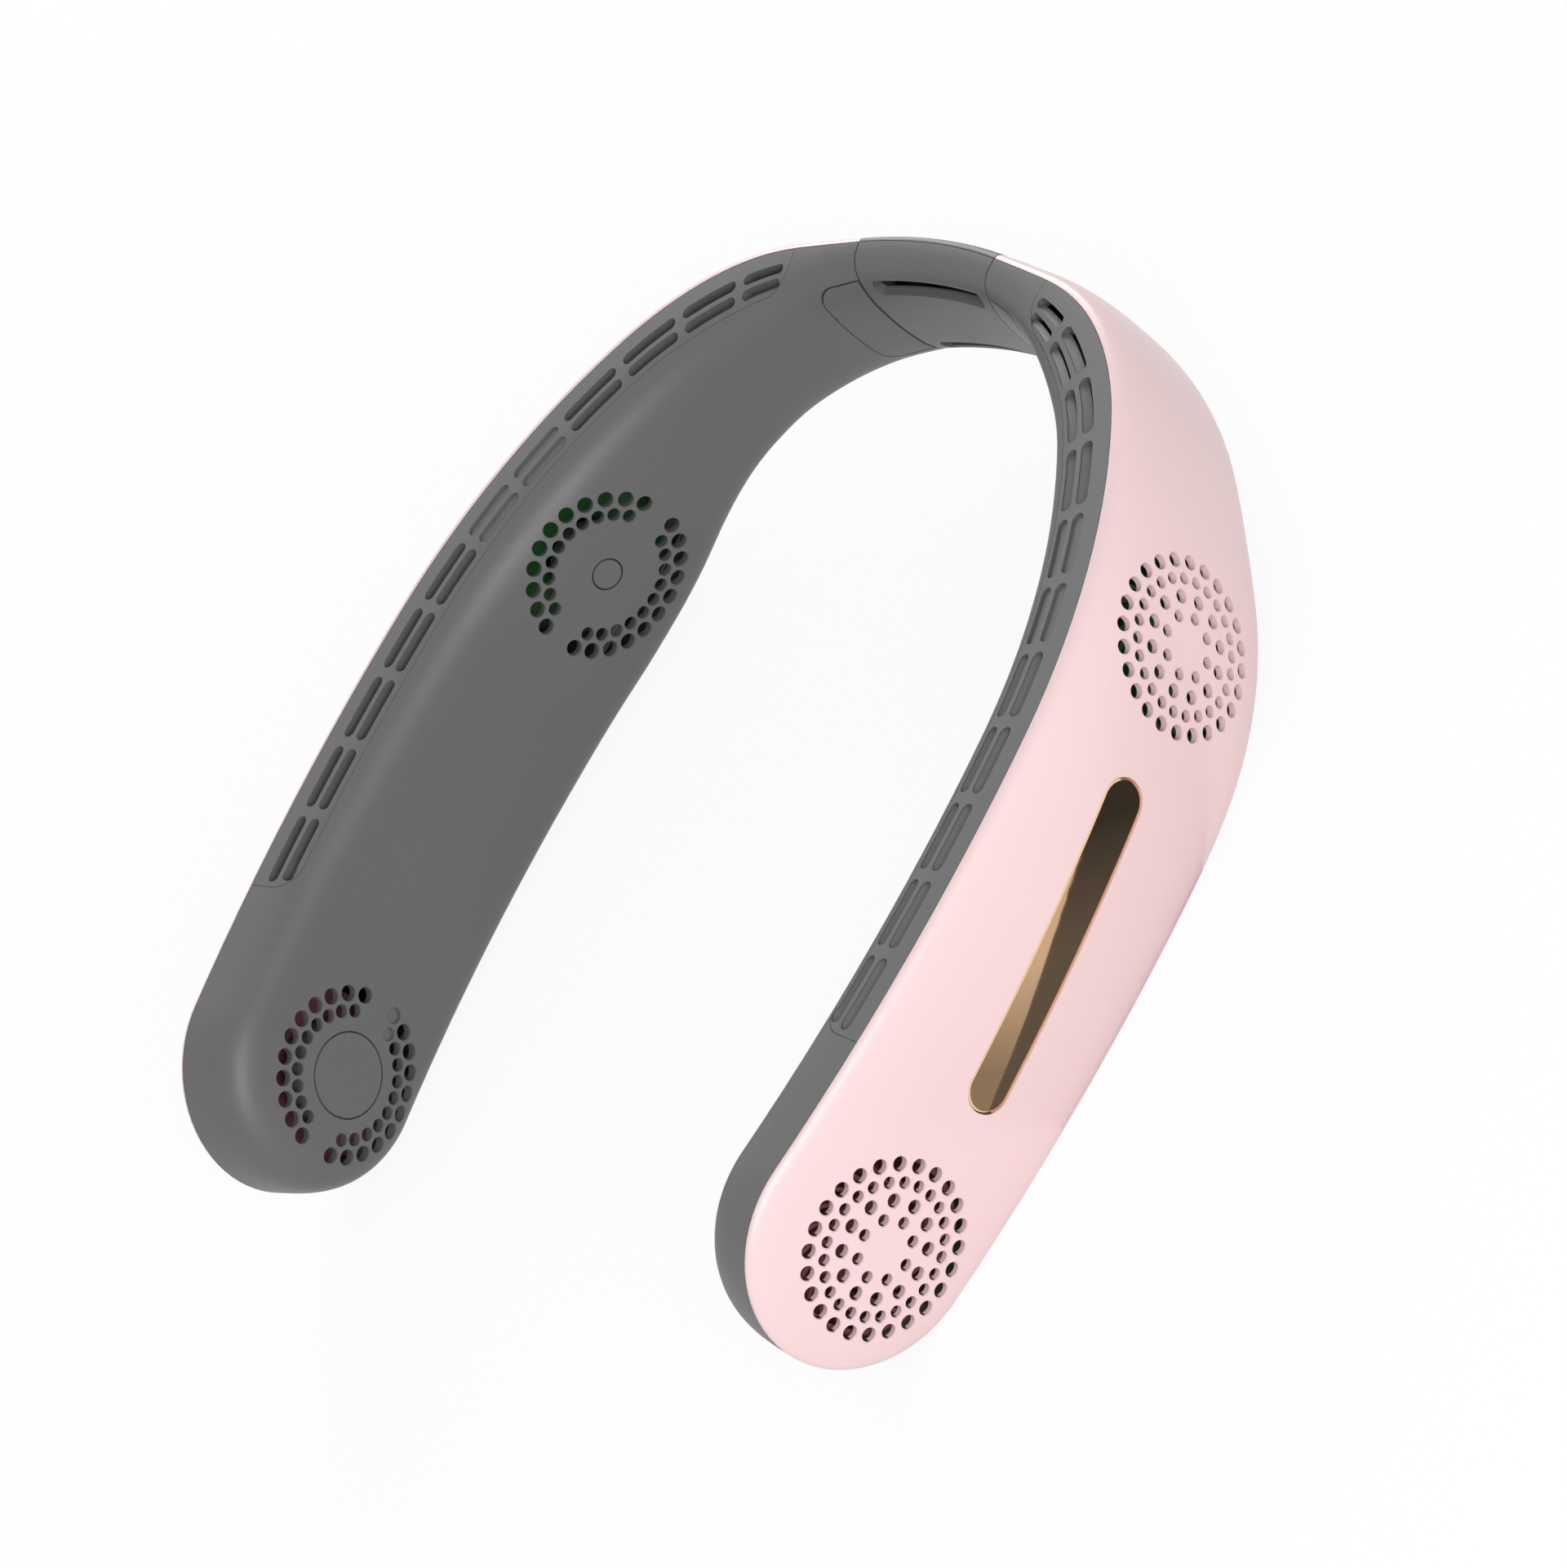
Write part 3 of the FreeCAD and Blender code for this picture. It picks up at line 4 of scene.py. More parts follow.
import bmesh
import bpy
from mathutils import Matrix, Vector


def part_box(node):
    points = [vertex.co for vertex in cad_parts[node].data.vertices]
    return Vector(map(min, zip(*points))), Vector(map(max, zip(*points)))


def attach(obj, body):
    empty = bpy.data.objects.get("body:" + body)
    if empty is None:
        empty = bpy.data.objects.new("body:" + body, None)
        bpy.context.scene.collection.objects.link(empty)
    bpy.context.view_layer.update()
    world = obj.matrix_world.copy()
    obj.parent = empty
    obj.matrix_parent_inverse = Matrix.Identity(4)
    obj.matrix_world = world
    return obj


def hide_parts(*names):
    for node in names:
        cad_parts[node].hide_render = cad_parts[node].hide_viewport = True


bl_info = {
    "name": "Neck fan dresser",
    "version": (1, 0, 0),
    "blender": (4, 5, 0),
    "location": "View3D > Sidebar > Neck Fan",
    "description": "Finishes, stage and camera for the two-armed neck fan",
    "category": "Object",
}

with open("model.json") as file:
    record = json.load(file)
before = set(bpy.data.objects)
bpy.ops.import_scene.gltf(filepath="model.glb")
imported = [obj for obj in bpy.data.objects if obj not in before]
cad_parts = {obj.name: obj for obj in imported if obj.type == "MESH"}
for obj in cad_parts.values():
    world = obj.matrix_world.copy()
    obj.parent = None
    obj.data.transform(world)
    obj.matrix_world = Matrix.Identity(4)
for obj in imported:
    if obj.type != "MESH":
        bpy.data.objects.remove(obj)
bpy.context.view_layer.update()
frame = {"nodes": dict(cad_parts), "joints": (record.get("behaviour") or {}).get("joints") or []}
NODES = frame["nodes"]
MM = 0.001
WHITE = (1.0, 1.0, 1.0, 1.0)

# The photograph's camera, found by fitting the arm's outline
PHOTO_EYE = (1.232696, -0.334249, 0.932309)
PHOTO_RIGHT = (0.60439, 0.46575, -0.64637)
PHOTO_UP = (-0.13246, 0.85877, 0.49494)
PHOTO_LENS = 173.454
SENSOR_WIDTH = 36.0

# Soft lights: where each stands, the spot it points at, and its width
FRONT_SOFTBOX = ((1.35, -0.45, 0.75), (0.03, 0.0, 0.03), 1.1)
BACK_SOFTBOX = ((-1.0, 1.0, 0.5), (-0.03, 0.0, 0.03), 0.9)

# Floor: width and shade of its mottle, and the share of plain white that the camera sees beside the shadow
FLOOR_MOTTLE = 40 * MM
FLOOR_SHADE = 0.99
FLOOR_WHITE = 0.9

# Painted reflection: a glowing card, seen only in the plate's polish, dark on one side and pale on the other
# Card beside the plate: a spot on the edge where its dark part ends, that edge's turn, half size and shift
CARD_EDGE = (151.0 * MM, -10.7 * MM, 1.0 * MM)
CARD_TURN = math.radians(-21.4)
CARD_HALF = (43 * MM, 176 * MM, 1.0)
CARD_SHIFT = (-3 * MM, 124 * MM, 0.0)

# The card's shades along that edge: where each starts and ends, and how grey its pale side begins
CARD_REFLECTION_DARK = ("#767A82", "#45494F")
CARD_SHADE = (-8 * MM, 28 * MM)
CARD_FADE = (60 * MM, 300 * MM)
CARD_GREYING = (-39 * MM, -10 * MM)
CARD_GREY = 0.43

# Widths of the slow drift in tint and gloss, how dark it makes metal, and how far gloss strays
PLASTIC_DRIFT = 28 * MM
METAL_DRIFT = 9 * MM
METAL_SHADE = 0.93
PLASTIC_SPREAD = 0.03
METAL_SPREAD = 0.15

# Most of a noise lies between these values
NOISE_SPAN = (0.3, 0.7)

# How fast metal's lines change along their length, as a share of how fast they change across
LINE_STRETCH = 0.04

# A cover's face gets painted shade, standing in for the shade inside the arm, where it leans this far towards
# the neck
INNER_SHADE_LEAN = -0.3

# A rim is turned over where it bends by more than this angle in radians, beside a face that looks outwards
RIM_ANGLE = 1.0
RIM_FACING = 0.8
PLATE_FACING = (1.0, 0.0, 0.0)

# Points this close are merged, slivers this thin are taken out, and bends past this angle stay sharp
MERGE_GAP = 0.002 * MM
SLIVER = 0.005 * MM
SHARP_ANGLE = math.radians(15)


def linear(hex_colour):
    """Linear colour from an sRGB hex value."""
    out = []
    for i in (1, 3, 5):
        c = int(hex_colour[i:i + 2], 16) / 255
        out.append(c / 12.92 if c <= 0.04045 else ((c + 0.055) / 1.055) ** 2.4)
    return (*out, 1.0)


def colour(name, description, hex_colour):
    """A colour that a user can change."""
    return bpy.props.FloatVectorProperty(name=name, description=description, subtype="COLOR", size=4,
                                         min=0.0, max=1.0, default=linear(hex_colour))


class NeckFanFinish(bpy.types.PropertyGroup):
    """Colours and surface sizes of the fan's pieces."""

    pink: colour("Cover pink", "Outer covers of both arms", "#ECCECF")
    # Painted shade: dark colour on the covers' inner faces, standing in for the shade inside the arm
    painted_inner_shade: colour("Cover lining", "Bare inner face of the covers", "#3A3A3B")
    grey: colour("Shell grey", "Inner shells, vent strips and bridge", "#616162")
    # Painted shade: dark colour on the bevel round discs and panels, standing in for the shade in the groove
    groove: colour("Ring groove", "Shaded groove round discs and panels", "#2A2A2B")
    bronze: colour("Plate bronze", "Polished name plate", "#CEAA84")
    # Partly painted highlight: the bevel's copper is tinted lighter than the bronze to stand in for the line
    # of light it catches
    copper_with_painted_highlight: colour("Plate edge copper", "Cut edge round the name plate", "#F3CFA2")
    maroon: colour("Front impeller", "Impellers behind the front rosettes", "#8C5358")
    green: colour("Rear impeller", "Impellers behind the rear rosettes", "#27682F")
    plate_edge: bpy.props.FloatProperty(name="Plate edge", description="Width of the plate's bevel",
                                        default=0.55 * MM, unit="LENGTH")
    disc_edge: bpy.props.FloatProperty(name="Disc edge",
                                       description="Width of the groove round discs and panels",
                                       default=0.3 * MM, unit="LENGTH")
    peel: bpy.props.FloatProperty(name="Orange peel", description="Width of the paint's faint ripples",
                                  default=1.6 * MM, unit="LENGTH")
    grit: bpy.props.FloatProperty(name="Mould grit", description="Grain width of the spark-eroded mould face",
                                  default=0.35 * MM, unit="LENGTH")


class NeckFanStage(bpy.types.PropertyGroup):
    """Floor, light and camera sizes."""

    floor_size: bpy.props.FloatProperty(name="Floor", description="Side of the pale floor", default=6.0,
                                        unit="LENGTH")
    floor: colour("Floor colour", "Pale studio floor", "#D8D7D7")
    ambient: bpy.props.FloatProperty(name="Room light", description="Strength of the white room",
                                     default=0.53)
    key: bpy.props.FloatProperty(name="Key light", description="Power of the front softbox in watts",
                                 default=16.0)
    rim: bpy.props.FloatProperty(name="Back light", description="Power of the softbox behind in watts",
                                 default=10.0)
    lens: bpy.props.FloatProperty(name="Lens", description="Focal length of the camera in millimetres",
                                  default=PHOTO_LENS)


def add_node(tree, kind, inputs=None, **settings):
    """Adds a node, sets its properties and fills or links its inputs."""
    node = tree.nodes.new(kind)
    for name, value in settings.items():
        setattr(node, name, value)
    for name, value in (inputs or {}).items():
        if isinstance(value, bpy.types.NodeSocket):
            tree.links.new(value, node.inputs[name])
        else:
            node.inputs[name].default_value = value
    return node


def new_material(name):
    """An empty node material with its tree, output and object coordinates."""
    material = bpy.data.materials.new(name)
    material.use_nodes = True
    tree = material.node_tree
    tree.nodes.clear()
    output = add_node(tree, "ShaderNodeOutputMaterial")
    place = add_node(tree, "ShaderNodeTexCoord").outputs["Object"]
    return material, tree, output, place


def moulded(name, tint, rough, grain, depth, mottle, coat=0.0, painted_inner_shade=None):
    """Moulded plastic: a grain of a real width in the bump, and roughness and tint that drift slightly.

    A painted-shade colour shows on faces that look in towards the neck, standing in for the shade inside the
    arm.
    """
    material, tree, output, place = new_material(name)
    fine = add_node(tree, "ShaderNodeTexNoise", {"Vector": place, "Scale": 1 / grain, "Detail": 2.0})
    drift = add_node(tree, "ShaderNodeTexNoise", {"Vector": place, "Scale": 1 / PLASTIC_DRIFT,
                                                  "Detail": 3.0})
    darker = tuple(c * (1 - mottle) for c in tint[:3]) + (1.0,)
    mixed = add_node(tree, "ShaderNodeMix", {"Factor": drift.outputs["Fac"], 6: tuple(tint), 7: darker},
                     data_type="RGBA")
    # Painted shade on faces that look in towards the neck
    if painted_inner_shade:
        outward = add_node(tree, "ShaderNodeVectorMath", {0: place, 1: (1.0, 1.0, 0.0)}, operation="MULTIPLY")
        outward = add_node(tree, "ShaderNodeVectorMath", {0: outward.outputs[0]}, operation="NORMALIZE")
        facing = add_node(tree, "ShaderNodeTexCoord").outputs["Normal"]
        lean = add_node(tree, "ShaderNodeVectorMath", {0: outward.outputs[0], 1: facing},
                        operation="DOT_PRODUCT")
        painted_shade_mask = add_node(tree, "ShaderNodeMath", {0: lean.outputs["Value"], 1: INNER_SHADE_LEAN},
                          operation="LESS_THAN")
        mixed = add_node(tree, "ShaderNodeMix", {"Factor": painted_shade_mask.outputs[0], 6: mixed.outputs[2],
                                                 7: tuple(painted_inner_shade)}, data_type="RGBA")
    gloss = add_node(tree, "ShaderNodeMapRange", {"Value": drift.outputs["Fac"], "From Min": NOISE_SPAN[0],
                                                  "From Max": NOISE_SPAN[1],
                                                  "To Min": rough - PLASTIC_SPREAD,
                                                  "To Max": rough + PLASTIC_SPREAD})
    bump = add_node(tree, "ShaderNodeBump", {"Height": fine.outputs["Fac"], "Strength": 1.0,
                                             "Distance": depth})
    shader = add_node(tree, "ShaderNodeBsdfPrincipled",
                      {"Base Color": mixed.outputs[2], "Roughness": gloss.outputs["Result"],
                       "Normal": bump.outputs["Normal"], "IOR": 1.5, "Coat Weight": coat,
                       "Coat Roughness": 0.12})
    tree.links.new(shader.outputs["BSDF"], output.inputs["Surface"])
    return material


def metal(name, tint, rough, line, depth, turn=(0.0, 0.0, 0.0)):
    """Bare metal with fine lines of a real spacing left by rolling, turning or polishing."""
    material, tree, output, place = new_material(name)
    spot = add_node(tree, "ShaderNodeMapping", {"Vector": place, "Rotation": turn,
                                                "Scale": (1.0, 1.0, LINE_STRETCH)})
    lines = add_node(tree, "ShaderNodeTexNoise", {"Vector": spot.outputs["Vector"], "Scale": 1 / line,
                                                  "Detail": 2.0})
    drift = add_node(tree, "ShaderNodeTexNoise", {"Vector": place, "Scale": 1 / METAL_DRIFT, "Detail": 2.0})
    darker = tuple(c * METAL_SHADE for c in tint[:3]) + (1.0,)
    mixed = add_node(tree, "ShaderNodeMix", {"Factor": drift.outputs["Fac"], 6: tuple(tint), 7: darker},
                     data_type="RGBA")
    gloss = add_node(tree, "ShaderNodeMapRange", {"Value": lines.outputs["Fac"], "From Min": NOISE_SPAN[0],
                                                  "From Max": NOISE_SPAN[1],
                                                  "To Min": rough * (1 - METAL_SPREAD),
                                                  "To Max": rough * (1 + METAL_SPREAD)})
    bump = add_node(tree, "ShaderNodeBump", {"Height": lines.outputs["Fac"], "Strength": 1.0,
                                             "Distance": depth})
    shader = add_node(tree, "ShaderNodeBsdfPrincipled",
                      {"Base Color": mixed.outputs[2], "Metallic": 1.0, "Roughness": gloss.outputs["Result"],
                       "Normal": bump.outputs["Normal"]})
    tree.links.new(shader.outputs["BSDF"], output.inputs["Surface"])
    return material


def dress(names, material):
    """Gives CAD nodes a finish."""
    for name in names:
        piece = NODES[name]
        if not piece.material_slots:
            piece.data.materials.append(material)
        for holder in piece.material_slots:
            holder.material = material


def both(*names):
    """The same piece on the left and the right arm."""
    return [side + name for name in names for side in ("left_", "right_")]


def eased_copy(node, name, facing, width, edge_finish):
    """A CAD piece again with its outer rim turned over and finished on its own."""
    copy = bmesh.new()
    copy.from_mesh(NODES[node].data)
    bmesh.ops.remove_doubles(copy, verts=copy.verts, dist=MERGE_GAP)
    bmesh.ops.dissolve_degenerate(copy, dist=SLIVER, edges=copy.edges)
    rim = [edge for edge in copy.edges
           if len(edge.link_faces) == 2 and edge.calc_face_angle_signed() > RIM_ANGLE
           and max(face.normal.dot(facing) for face in edge.link_faces) > RIM_FACING]
    turned = bmesh.ops.bevel(copy, geom=rim, affect="EDGES", offset=width, segments=2, profile=0.5,
                             material=-1)
    for face in turned["faces"]:
        face.material_index = 1
    bmesh.ops.recalc_face_normals(copy, faces=copy.faces)
    for face in copy.faces:
        face.smooth = True
    mesh = bpy.data.meshes.new(name)
    copy.to_mesh(mesh)
    copy.free()
    mesh.set_sharp_from_angle(angle=SHARP_ANGLE)
    mesh.materials.append(NODES[node].material_slots[0].material)
    mesh.materials.append(edge_finish)
    piece = bpy.data.objects.new(name, mesh)
    bpy.context.scene.collection.objects.link(piece)
    return piece


def neck_side(fan):
    """The direction from a blower towards the neck."""
    return -next(Vector(joint["axis"]) for joint in frame["joints"] if joint["name"] == fan + "_fan_spin")


def panel_side(panel):
    """The direction from a hinge panel towards the neck."""
    low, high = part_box(panel)
    return -Vector((low[0] + high[0], low[1] + high[1], 0.0)).normalized()


class NECKFAN_OT_covers(bpy.types.Operator):
    """Finish the pink outer covers"""

    bl_idname = "neckfan.covers"
    bl_label = "Outer covers"

    def execute(self, context):
        finish = context.scene.neck_fan_finish
        # Sprayed ABS: an even satin skin with a faint ripple that softens reflections
        # Faces that look in towards the neck get painted shade, standing in for the shade inside the arm
        paint = moulded("sprayed_pink_abs", finish.pink, 0.34, finish.peel, 0.004 * MM, 0.015, coat=0.15,
                        painted_inner_shade=finish.painted_inner_shade)
        dress(both("outer_cover"), paint)
        return {"FINISHED"}


class NECKFAN_OT_shells(bpy.types.Operator):
    """Finish the grey inner shells, strips, discs, panels and bridge"""

    bl_idname = "neckfan.shells"
    bl_label = "Grey shells"

    def execute(self, context):
        finish = context.scene.neck_fan_finish
        # ABS from a spark-eroded mould: fine grit that spreads highlights into a broad sheen
        grey = moulded("moulded_grey_abs", finish.grey, 0.46, finish.grit, 0.006 * MM, 0.04)
        dress(both("inner_shell", "vent_strip", "hinge_cover", "rear_cap"), grey)
        dress(["bridge_outer_shell", "bridge_inner_shell", "power_button", "right_front_cap"], grey)
        # Moulded groove round each disc and panel: the same grit, with painted shade where little light gets
        # in
        groove = moulded("painted_shade_groove_abs", finish.groove, 0.6, finish.grit, 0.006 * MM, 0.04)
        for node, facing, body in (("left_rear_cap", neck_side("left_rear"), "left_arm"),
                                   ("right_rear_cap", neck_side("right_rear"), "right_arm"),
                                   ("power_button", neck_side("left_front"), "power_button"),
                                   ("right_front_cap", neck_side("right_front"), "right_arm"),
                                   ("left_hinge_cover", panel_side("left_hinge_cover"), "left_arm"),
                                   ("right_hinge_cover", panel_side("right_hinge_cover"), "right_arm")):
            piece = eased_copy(node, "eased_" + node, facing, finish.disc_edge, groove)
            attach(piece, body)
            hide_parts(node)
        return {"FINISHED"}


class NECKFAN_OT_plate(bpy.types.Operator):
    """Finish the polished plate on the right cover"""

    bl_idname = "neckfan.plate"
    bl_label = "Name plate"

    def execute(self, context):
        finish = context.scene.neck_fan_finish
        # Polished bronze: a near mirror with hairlines too fine to see singly, so they are drawn coarser,
        # about a tenth of a millimetre apart
        bronze = metal("polished_bronze", finish.bronze, 0.045, 0.12 * MM, 0.0001 * MM)
        dress(["name_plate"], bronze)
        # Edge cut after plating: copper whose bevel catches a real line of light, with a tint lighter than
        # the bronze as painted highlight
        copper_with_painted_highlight = metal("cut_copper_with_painted_highlight", finish.copper_with_painted_highlight, 0.08, 0.12 * MM, 0.0001 * MM)
        piece = eased_copy("name_plate", "bevelled_plate", PLATE_FACING, finish.plate_edge, copper_with_painted_highlight)
        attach(piece, "right_arm")
        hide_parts("name_plate")
        return {"FINISHED"}


class NECKFAN_OT_fans(bpy.types.Operator):
    """Finish the impellers, motors, shafts and motor mounts"""

    bl_idname = "neckfan.fans"
    bl_label = "Blowers"

    def execute(self, context):
        finish = context.scene.neck_fan_finish
        # Nylon impellers: satin, slightly uneven where the melt flowed
        maroon = moulded("maroon_nylon", finish.maroon, 0.38, 0.5 * MM, 0.006 * MM, 0.12)
        green = moulded("green_nylon", finish.green, 0.38, 0.5 * MM, 0.006 * MM, 0.12)
        dress(both("front_impeller"), maroon)
        dress(both("rear_impeller"), green)
        # Pressed steel cans: turned lines round the wall
        can = metal("pressed_steel", linear("#A9ABAE"), 0.28, 0.3 * MM, 0.001 * MM)
        dress(both("front_motor", "rear_motor", "front_shaft", "rear_shaft"), can)
        # Glass-filled nylon mount: dark and matt, with short fibres in the skin
        mount = moulded("glass_filled_nylon", linear("#1C1C1D"), 0.62, 0.3 * MM, 0.015 * MM, 0.2)
        dress(both("front_motor_mount"), mount)
        return {"FINISHED"}


class NECKFAN_OT_power(bpy.types.Operator):
    """Finish the batteries, board, switch and socket"""

    bl_idname = "neckfan.power"
    bl_label = "Power pieces"

    def execute(self, context):
        # Pouch cell in shrink film: smooth with slight wrinkles
        film = moulded("shrink_film", linear("#2F5E86"), 0.3, 6 * MM, 0.12 * MM, 0.1)
        dress(both("battery"), film)
        # Solder mask over glass cloth: the cloth shows as a faint unevenness
        mask = moulded("solder_mask", linear("#123F22"), 0.32, 0.8 * MM, 0.01 * MM, 0.15)
        dress(["control_board"], mask)
        # Moulded switch housing: dark, with a fine even grain
        housing = moulded("switch_housing", linear("#17171A"), 0.5, 0.3 * MM, 0.006 * MM, 0.1)
        dress(["power_switch"], housing)
        # Drawn stainless socket shell: bright with draw lines
        stainless = metal("drawn_stainless", linear("#C3C4C6"), 0.2, 0.2 * MM, 0.0008 * MM)
        dress(["charging_socket"], stainless)
        return {"FINISHED"}


class NECKFAN_OT_hinges(bpy.types.Operator):
    """Finish the hinge knuckles, pins and screws"""

    bl_idname = "neckfan.hinges"
    bl_label = "Hinges"

    def execute(self, context):
        # Zinc die casting: dull grey with a sandy skin
        zinc = metal("cast_zinc", linear("#8D8F92"), 0.42, 0.6 * MM, 0.006 * MM, (0.4, 0.2, 0.0))
        dress(both("hinge_knuckle"), zinc)
        # Ground steel pins and plated screws
        steel = metal("ground_steel", linear("#B9BBBE"), 0.22, 0.15 * MM, 0.0006 * MM, (1.57, 0.0, 0.0))
        dress(both("hinge_pin", "hinge_screws"), steel)
        return {"FINISHED"}


def softbox(name, place, target, size, power):
    """A round soft light that points at a spot."""
    lamp = bpy.data.lights.new(name, "AREA")
    lamp.shape = "DISK"
    lamp.size = size
    lamp.energy = power
    holder = bpy.data.objects.new(name, lamp)
    aim = (Vector(target) - Vector(place)).to_track_quat("-Z", "Y")
    holder.matrix_world = Matrix.Translation(place) @ aim.to_matrix().to_4x4()
    bpy.context.scene.collection.objects.link(holder)


def shown_rays(tree):
    """One for rays that show the stage: from the camera, off polish or through glass."""
    rays = add_node(tree, "ShaderNodeLightPath").outputs
    shown = add_node(tree, "ShaderNodeMath", {0: rays["Is Camera Ray"], 1: rays["Is Glossy Ray"]},
                     operation="MAXIMUM")
    shown = add_node(tree, "ShaderNodeMath", {0: shown.outputs[0], 1: rays["Is Transmission Ray"]},
                     operation="MAXIMUM")
    return shown.outputs[0]


def stage_sheet(name, sheet, material):
    """Puts a flat sheet on the stage and returns its object."""
    mesh = bpy.data.meshes.new(name)
    sheet.to_mesh(mesh)
    sheet.free()
    mesh.materials.append(material)
    holder = bpy.data.objects.new(name, mesh)
    bpy.context.scene.collection.objects.link(holder)
    return holder


def lay_floor(stage):
    """Pale floor that the camera sees as white, with a faint shadow."""
    material, tree, output, place = new_material("pale_studio_floor")
    speckle = add_node(tree, "ShaderNodeTexNoise", {"Vector": place, "Scale": 1 / FLOOR_MOTTLE})
    tone = tuple(c * FLOOR_SHADE for c in stage.floor[:3]) + (1.0,)
    mixed = add_node(tree, "ShaderNodeMix", {"Factor": speckle.outputs["Fac"], 6: tuple(stage.floor),
                                             7: tone}, data_type="RGBA")
    shown = shown_rays(tree)
    mixed = add_node(tree, "ShaderNodeMix", {"Factor": shown, 6: mixed.outputs[2], 7: WHITE},
                     data_type="RGBA")
    matt = add_node(tree, "ShaderNodeBsdfDiffuse", {"Color": mixed.outputs[2]})
    glow = add_node(tree, "ShaderNodeEmission", {"Color": WHITE, "Strength": 1.0})
    seen = add_node(tree, "ShaderNodeMath", {0: shown, 1: FLOOR_WHITE}, operation="MULTIPLY")
    blend = add_node(tree, "ShaderNodeMixShader", {0: seen.outputs[0], 1: matt.outputs[0],
                                                   2: glow.outputs[0]})
    tree.links.new(blend.outputs[0], output.inputs["Surface"])
    sheet = bmesh.new()
    bmesh.ops.create_grid(sheet, x_segments=4, y_segments=4, size=stage.floor_size / 2)
    stage_sheet("floor", sheet, material)


def light_room(stage):
    """White room: full white to the camera, gentler as light."""
    world = bpy.data.worlds.new("white_room")
    world.use_nodes = True
    tree = world.node_tree
    tree.nodes.clear()
    level = add_node(tree, "ShaderNodeMapRange", {"Value": shown_rays(tree), "To Min": stage.ambient,
                                                  "To Max": 1.0})
    sky = add_node(tree, "ShaderNodeBackground", {"Color": WHITE, "Strength": level.outputs["Result"]})
    add_node(tree, "ShaderNodeOutputWorld", {"Surface": sky.outputs[0]})
    bpy.context.scene.world = world


def lay_reflection_card():
    """Glowing card low beside the plate, seen only in its polish, that paints the plate's reflection: dark on
    one side, pale and greying on the other.
    """
    material, tree, output, place = new_material("painted_reflection_card")
    spot = add_node(tree, "ShaderNodeMapping", {"Vector": place, "Location": CARD_EDGE,
                                                "Rotation": (0.0, 0.0, CARD_TURN)}, vector_type="TEXTURE")
    spot = add_node(tree, "ShaderNodeSeparateXYZ", {"Vector": spot.outputs["Vector"]})
    shade = add_node(tree, "ShaderNodeMapRange", {"Value": spot.outputs["Y"], "From Min": CARD_SHADE[0],
                                                  "From Max": CARD_SHADE[1]})
    dark = add_node(tree, "ShaderNodeMix", {"Factor": shade.outputs["Result"], 6: linear(CARD_REFLECTION_DARK[0]),
                                            7: linear(CARD_REFLECTION_DARK[1])}, data_type="RGBA")
    away = add_node(tree, "ShaderNodeMapRange", {"Value": spot.outputs["Y"], "From Min": CARD_FADE[0],
                                                 "From Max": CARD_FADE[1]})
    dark = add_node(tree, "ShaderNodeMix", {"Factor": away.outputs["Result"], 6: dark.outputs[2], 7: WHITE},
                    data_type="RGBA")
    pale = add_node(tree, "ShaderNodeMapRange", {"Value": spot.outputs["Y"], "From Min": CARD_GREYING[0],
                                                 "From Max": CARD_GREYING[1], "To Min": CARD_GREY,
                                                 "To Max": 1.0})
    side = add_node(tree, "ShaderNodeMath", {0: spot.outputs["X"], 1: 0.0}, operation="GREATER_THAN")
    tone = add_node(tree, "ShaderNodeMix", {"Factor": side.outputs[0], 6: dark.outputs[2],
                                            7: pale.outputs["Result"]}, data_type="RGBA")
    # Painted reflection: the card glows in these tones so the plate mirrors them
    glow = add_node(tree, "ShaderNodeEmission", {"Color": tone.outputs[2], "Strength": 1.0})
    tree.links.new(glow.outputs[0], output.inputs["Surface"])
    sheet = bmesh.new()
    bmesh.ops.create_grid(sheet, x_segments=1, y_segments=1, size=1.0)
    bmesh.ops.scale(sheet, verts=sheet.verts, vec=CARD_HALF)
    bmesh.ops.translate(sheet, verts=sheet.verts, vec=CARD_SHIFT)
    bmesh.ops.rotate(sheet, verts=sheet.verts, matrix=Matrix.Rotation(CARD_TURN, 3, "Z"))
    bmesh.ops.translate(sheet, verts=sheet.verts, vec=CARD_EDGE)
    card = stage_sheet("painted_reflection_card", sheet, material)
    card.visible_camera = False
    card.visible_diffuse = False
    card.visible_shadow = False


def place_camera(stage):
    """The photograph's camera."""
    lens = bpy.data.cameras.new("photo_camera")
    lens.sensor_fit = "HORIZONTAL"
    lens.sensor_width = SENSOR_WIDTH
    lens.lens = stage.lens
    lens.clip_end = 20.0
    camera = bpy.data.objects.new("photo_camera", lens)
    right = Vector(PHOTO_RIGHT).normalized()
    up = Vector(PHOTO_UP)
    up = (up - right * up.dot(right)).normalized()
    turn = Matrix((right, up, right.cross(up))).transposed().to_4x4()
    camera.matrix_world = Matrix.Translation(PHOTO_EYE) @ turn
    bpy.context.scene.collection.objects.link(camera)
    bpy.context.scene.camera = camera


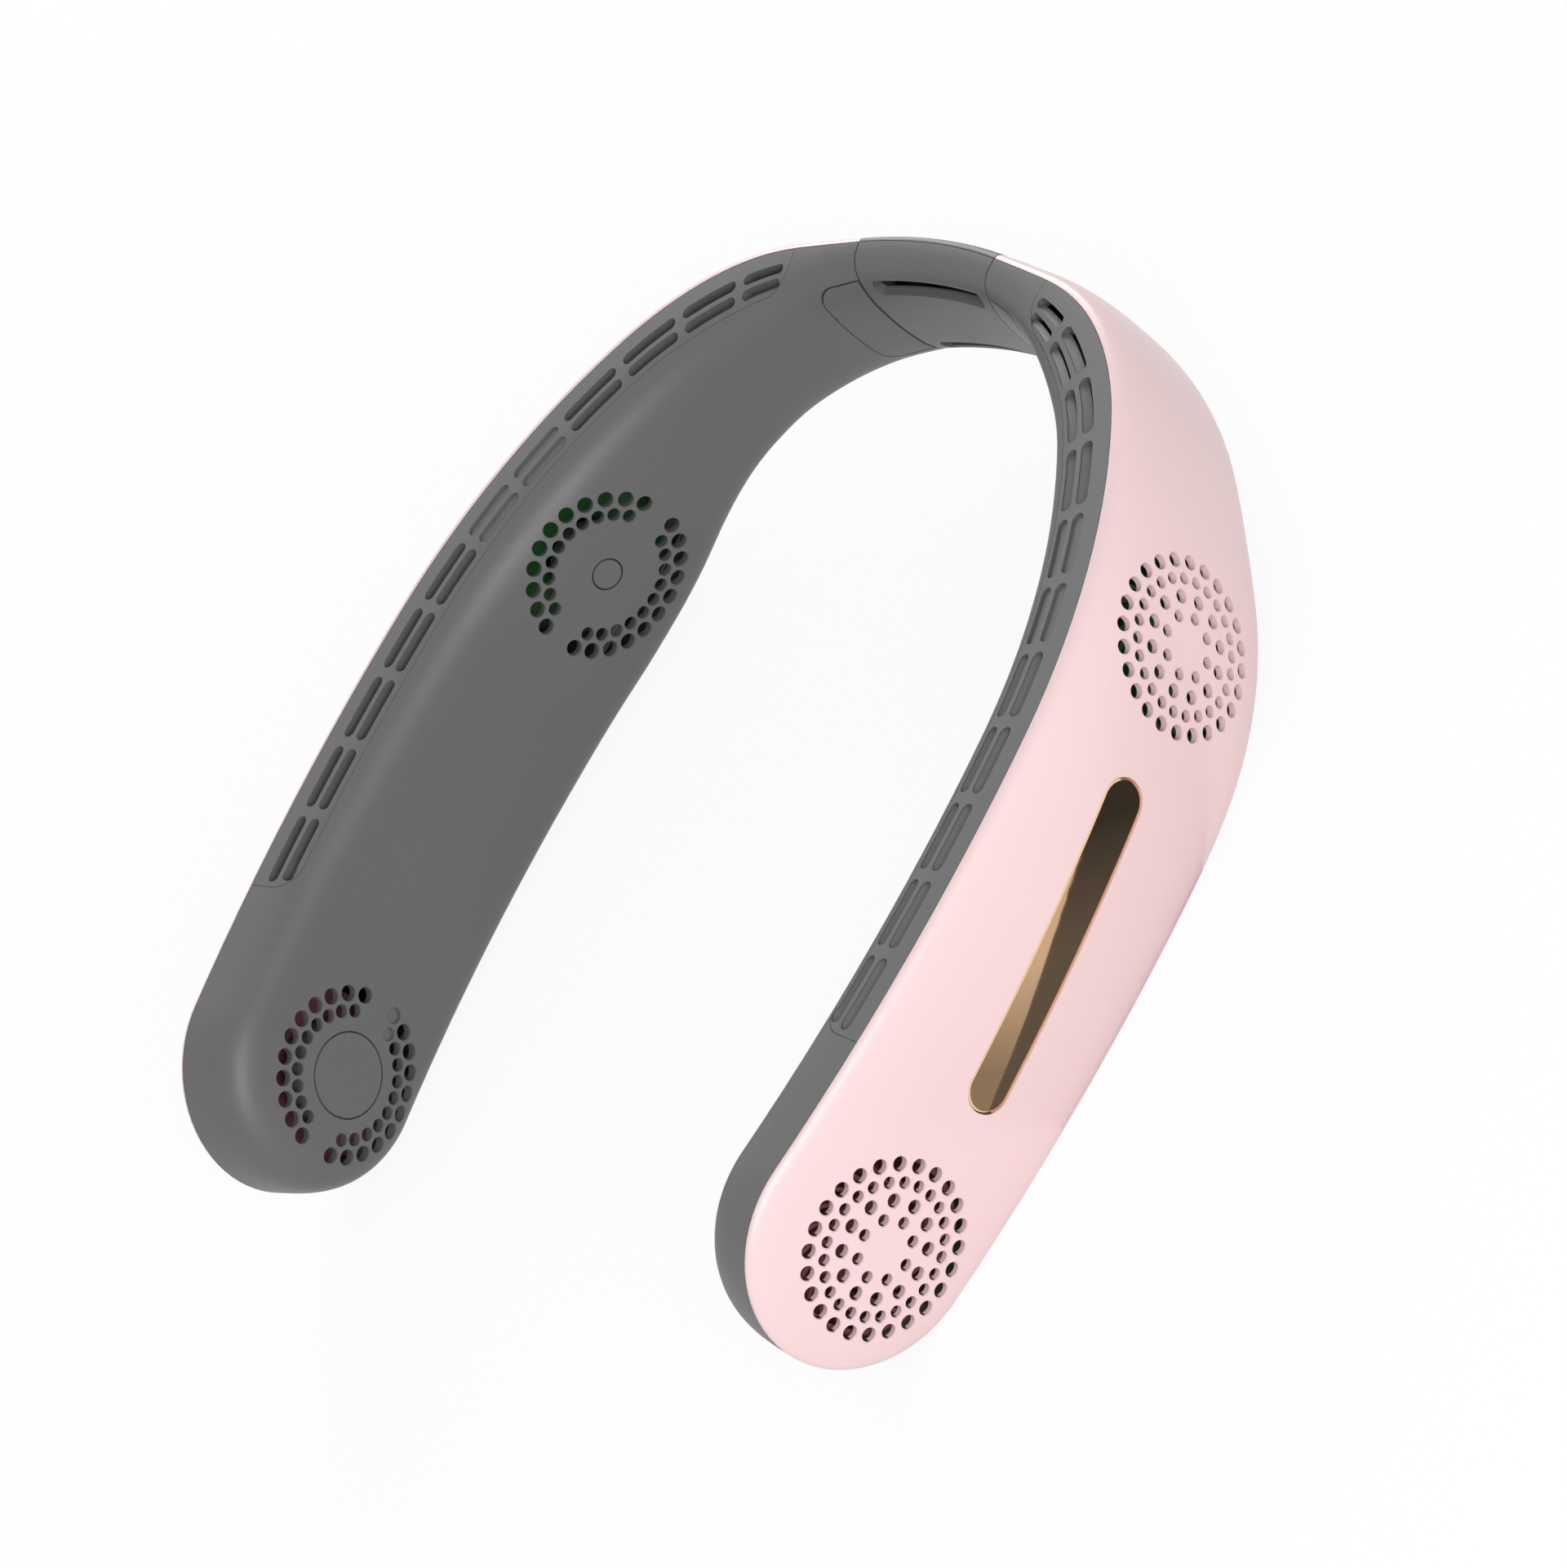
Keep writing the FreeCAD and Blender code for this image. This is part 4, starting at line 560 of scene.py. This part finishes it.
class NECKFAN_OT_stage(bpy.types.Operator):
    """Floor, room, lamps, a glowing card that paints the plate's reflection, and the photograph's camera"""

    bl_idname = "neckfan.stage"
    bl_label = "Stage"

    def execute(self, context):
        stage = context.scene.neck_fan_stage
        context.scene.view_settings.view_transform = "Standard"
        lay_floor(stage)
        light_room(stage)
        softbox("front_softbox", *FRONT_SOFTBOX, stage.key)
        softbox("back_softbox", *BACK_SOFTBOX, stage.rim)
        lay_reflection_card()
        place_camera(stage)
        return {"FINISHED"}


class NECKFAN_PT_panel(bpy.types.Panel):
    """Lists the pieces in the sidebar"""

    bl_idname = "NECKFAN_PT_panel"
    bl_label = "Neck fan"
    bl_space_type = "VIEW_3D"
    bl_region_type = "UI"
    bl_category = "Neck Fan"

    def draw(self, context):
        for name in ("pink", "painted_inner_shade", "grey", "groove", "bronze", "copper_with_painted_highlight", "maroon", "green", "plate_edge",
                     "disc_edge", "peel", "grit"):
            self.layout.prop(context.scene.neck_fan_finish, name)
        for name in ("floor_size", "floor", "ambient", "key", "rim", "lens"):
            self.layout.prop(context.scene.neck_fan_stage, name)
        for operator in OPERATORS:
            self.layout.operator(operator.bl_idname)


OPERATORS = (NECKFAN_OT_covers, NECKFAN_OT_shells, NECKFAN_OT_plate, NECKFAN_OT_fans, NECKFAN_OT_power,
             NECKFAN_OT_hinges, NECKFAN_OT_stage)
CLASSES = (NeckFanFinish, NeckFanStage) + OPERATORS + (NECKFAN_PT_panel,)


def register():
    for cls in CLASSES:
        bpy.utils.register_class(cls)
    bpy.types.Scene.neck_fan_finish = bpy.props.PointerProperty(type=NeckFanFinish)
    bpy.types.Scene.neck_fan_stage = bpy.props.PointerProperty(type=NeckFanStage)


def unregister():
    del bpy.types.Scene.neck_fan_stage
    del bpy.types.Scene.neck_fan_finish
    for cls in reversed(CLASSES):
        bpy.utils.unregister_class(cls)


def main():
    register()
    bpy.ops.neckfan.covers()
    bpy.ops.neckfan.shells()
    bpy.ops.neckfan.plate()
    bpy.ops.neckfan.fans()
    bpy.ops.neckfan.power()
    bpy.ops.neckfan.hinges()
    bpy.ops.neckfan.stage()


if __name__ == "__main__":
    main()
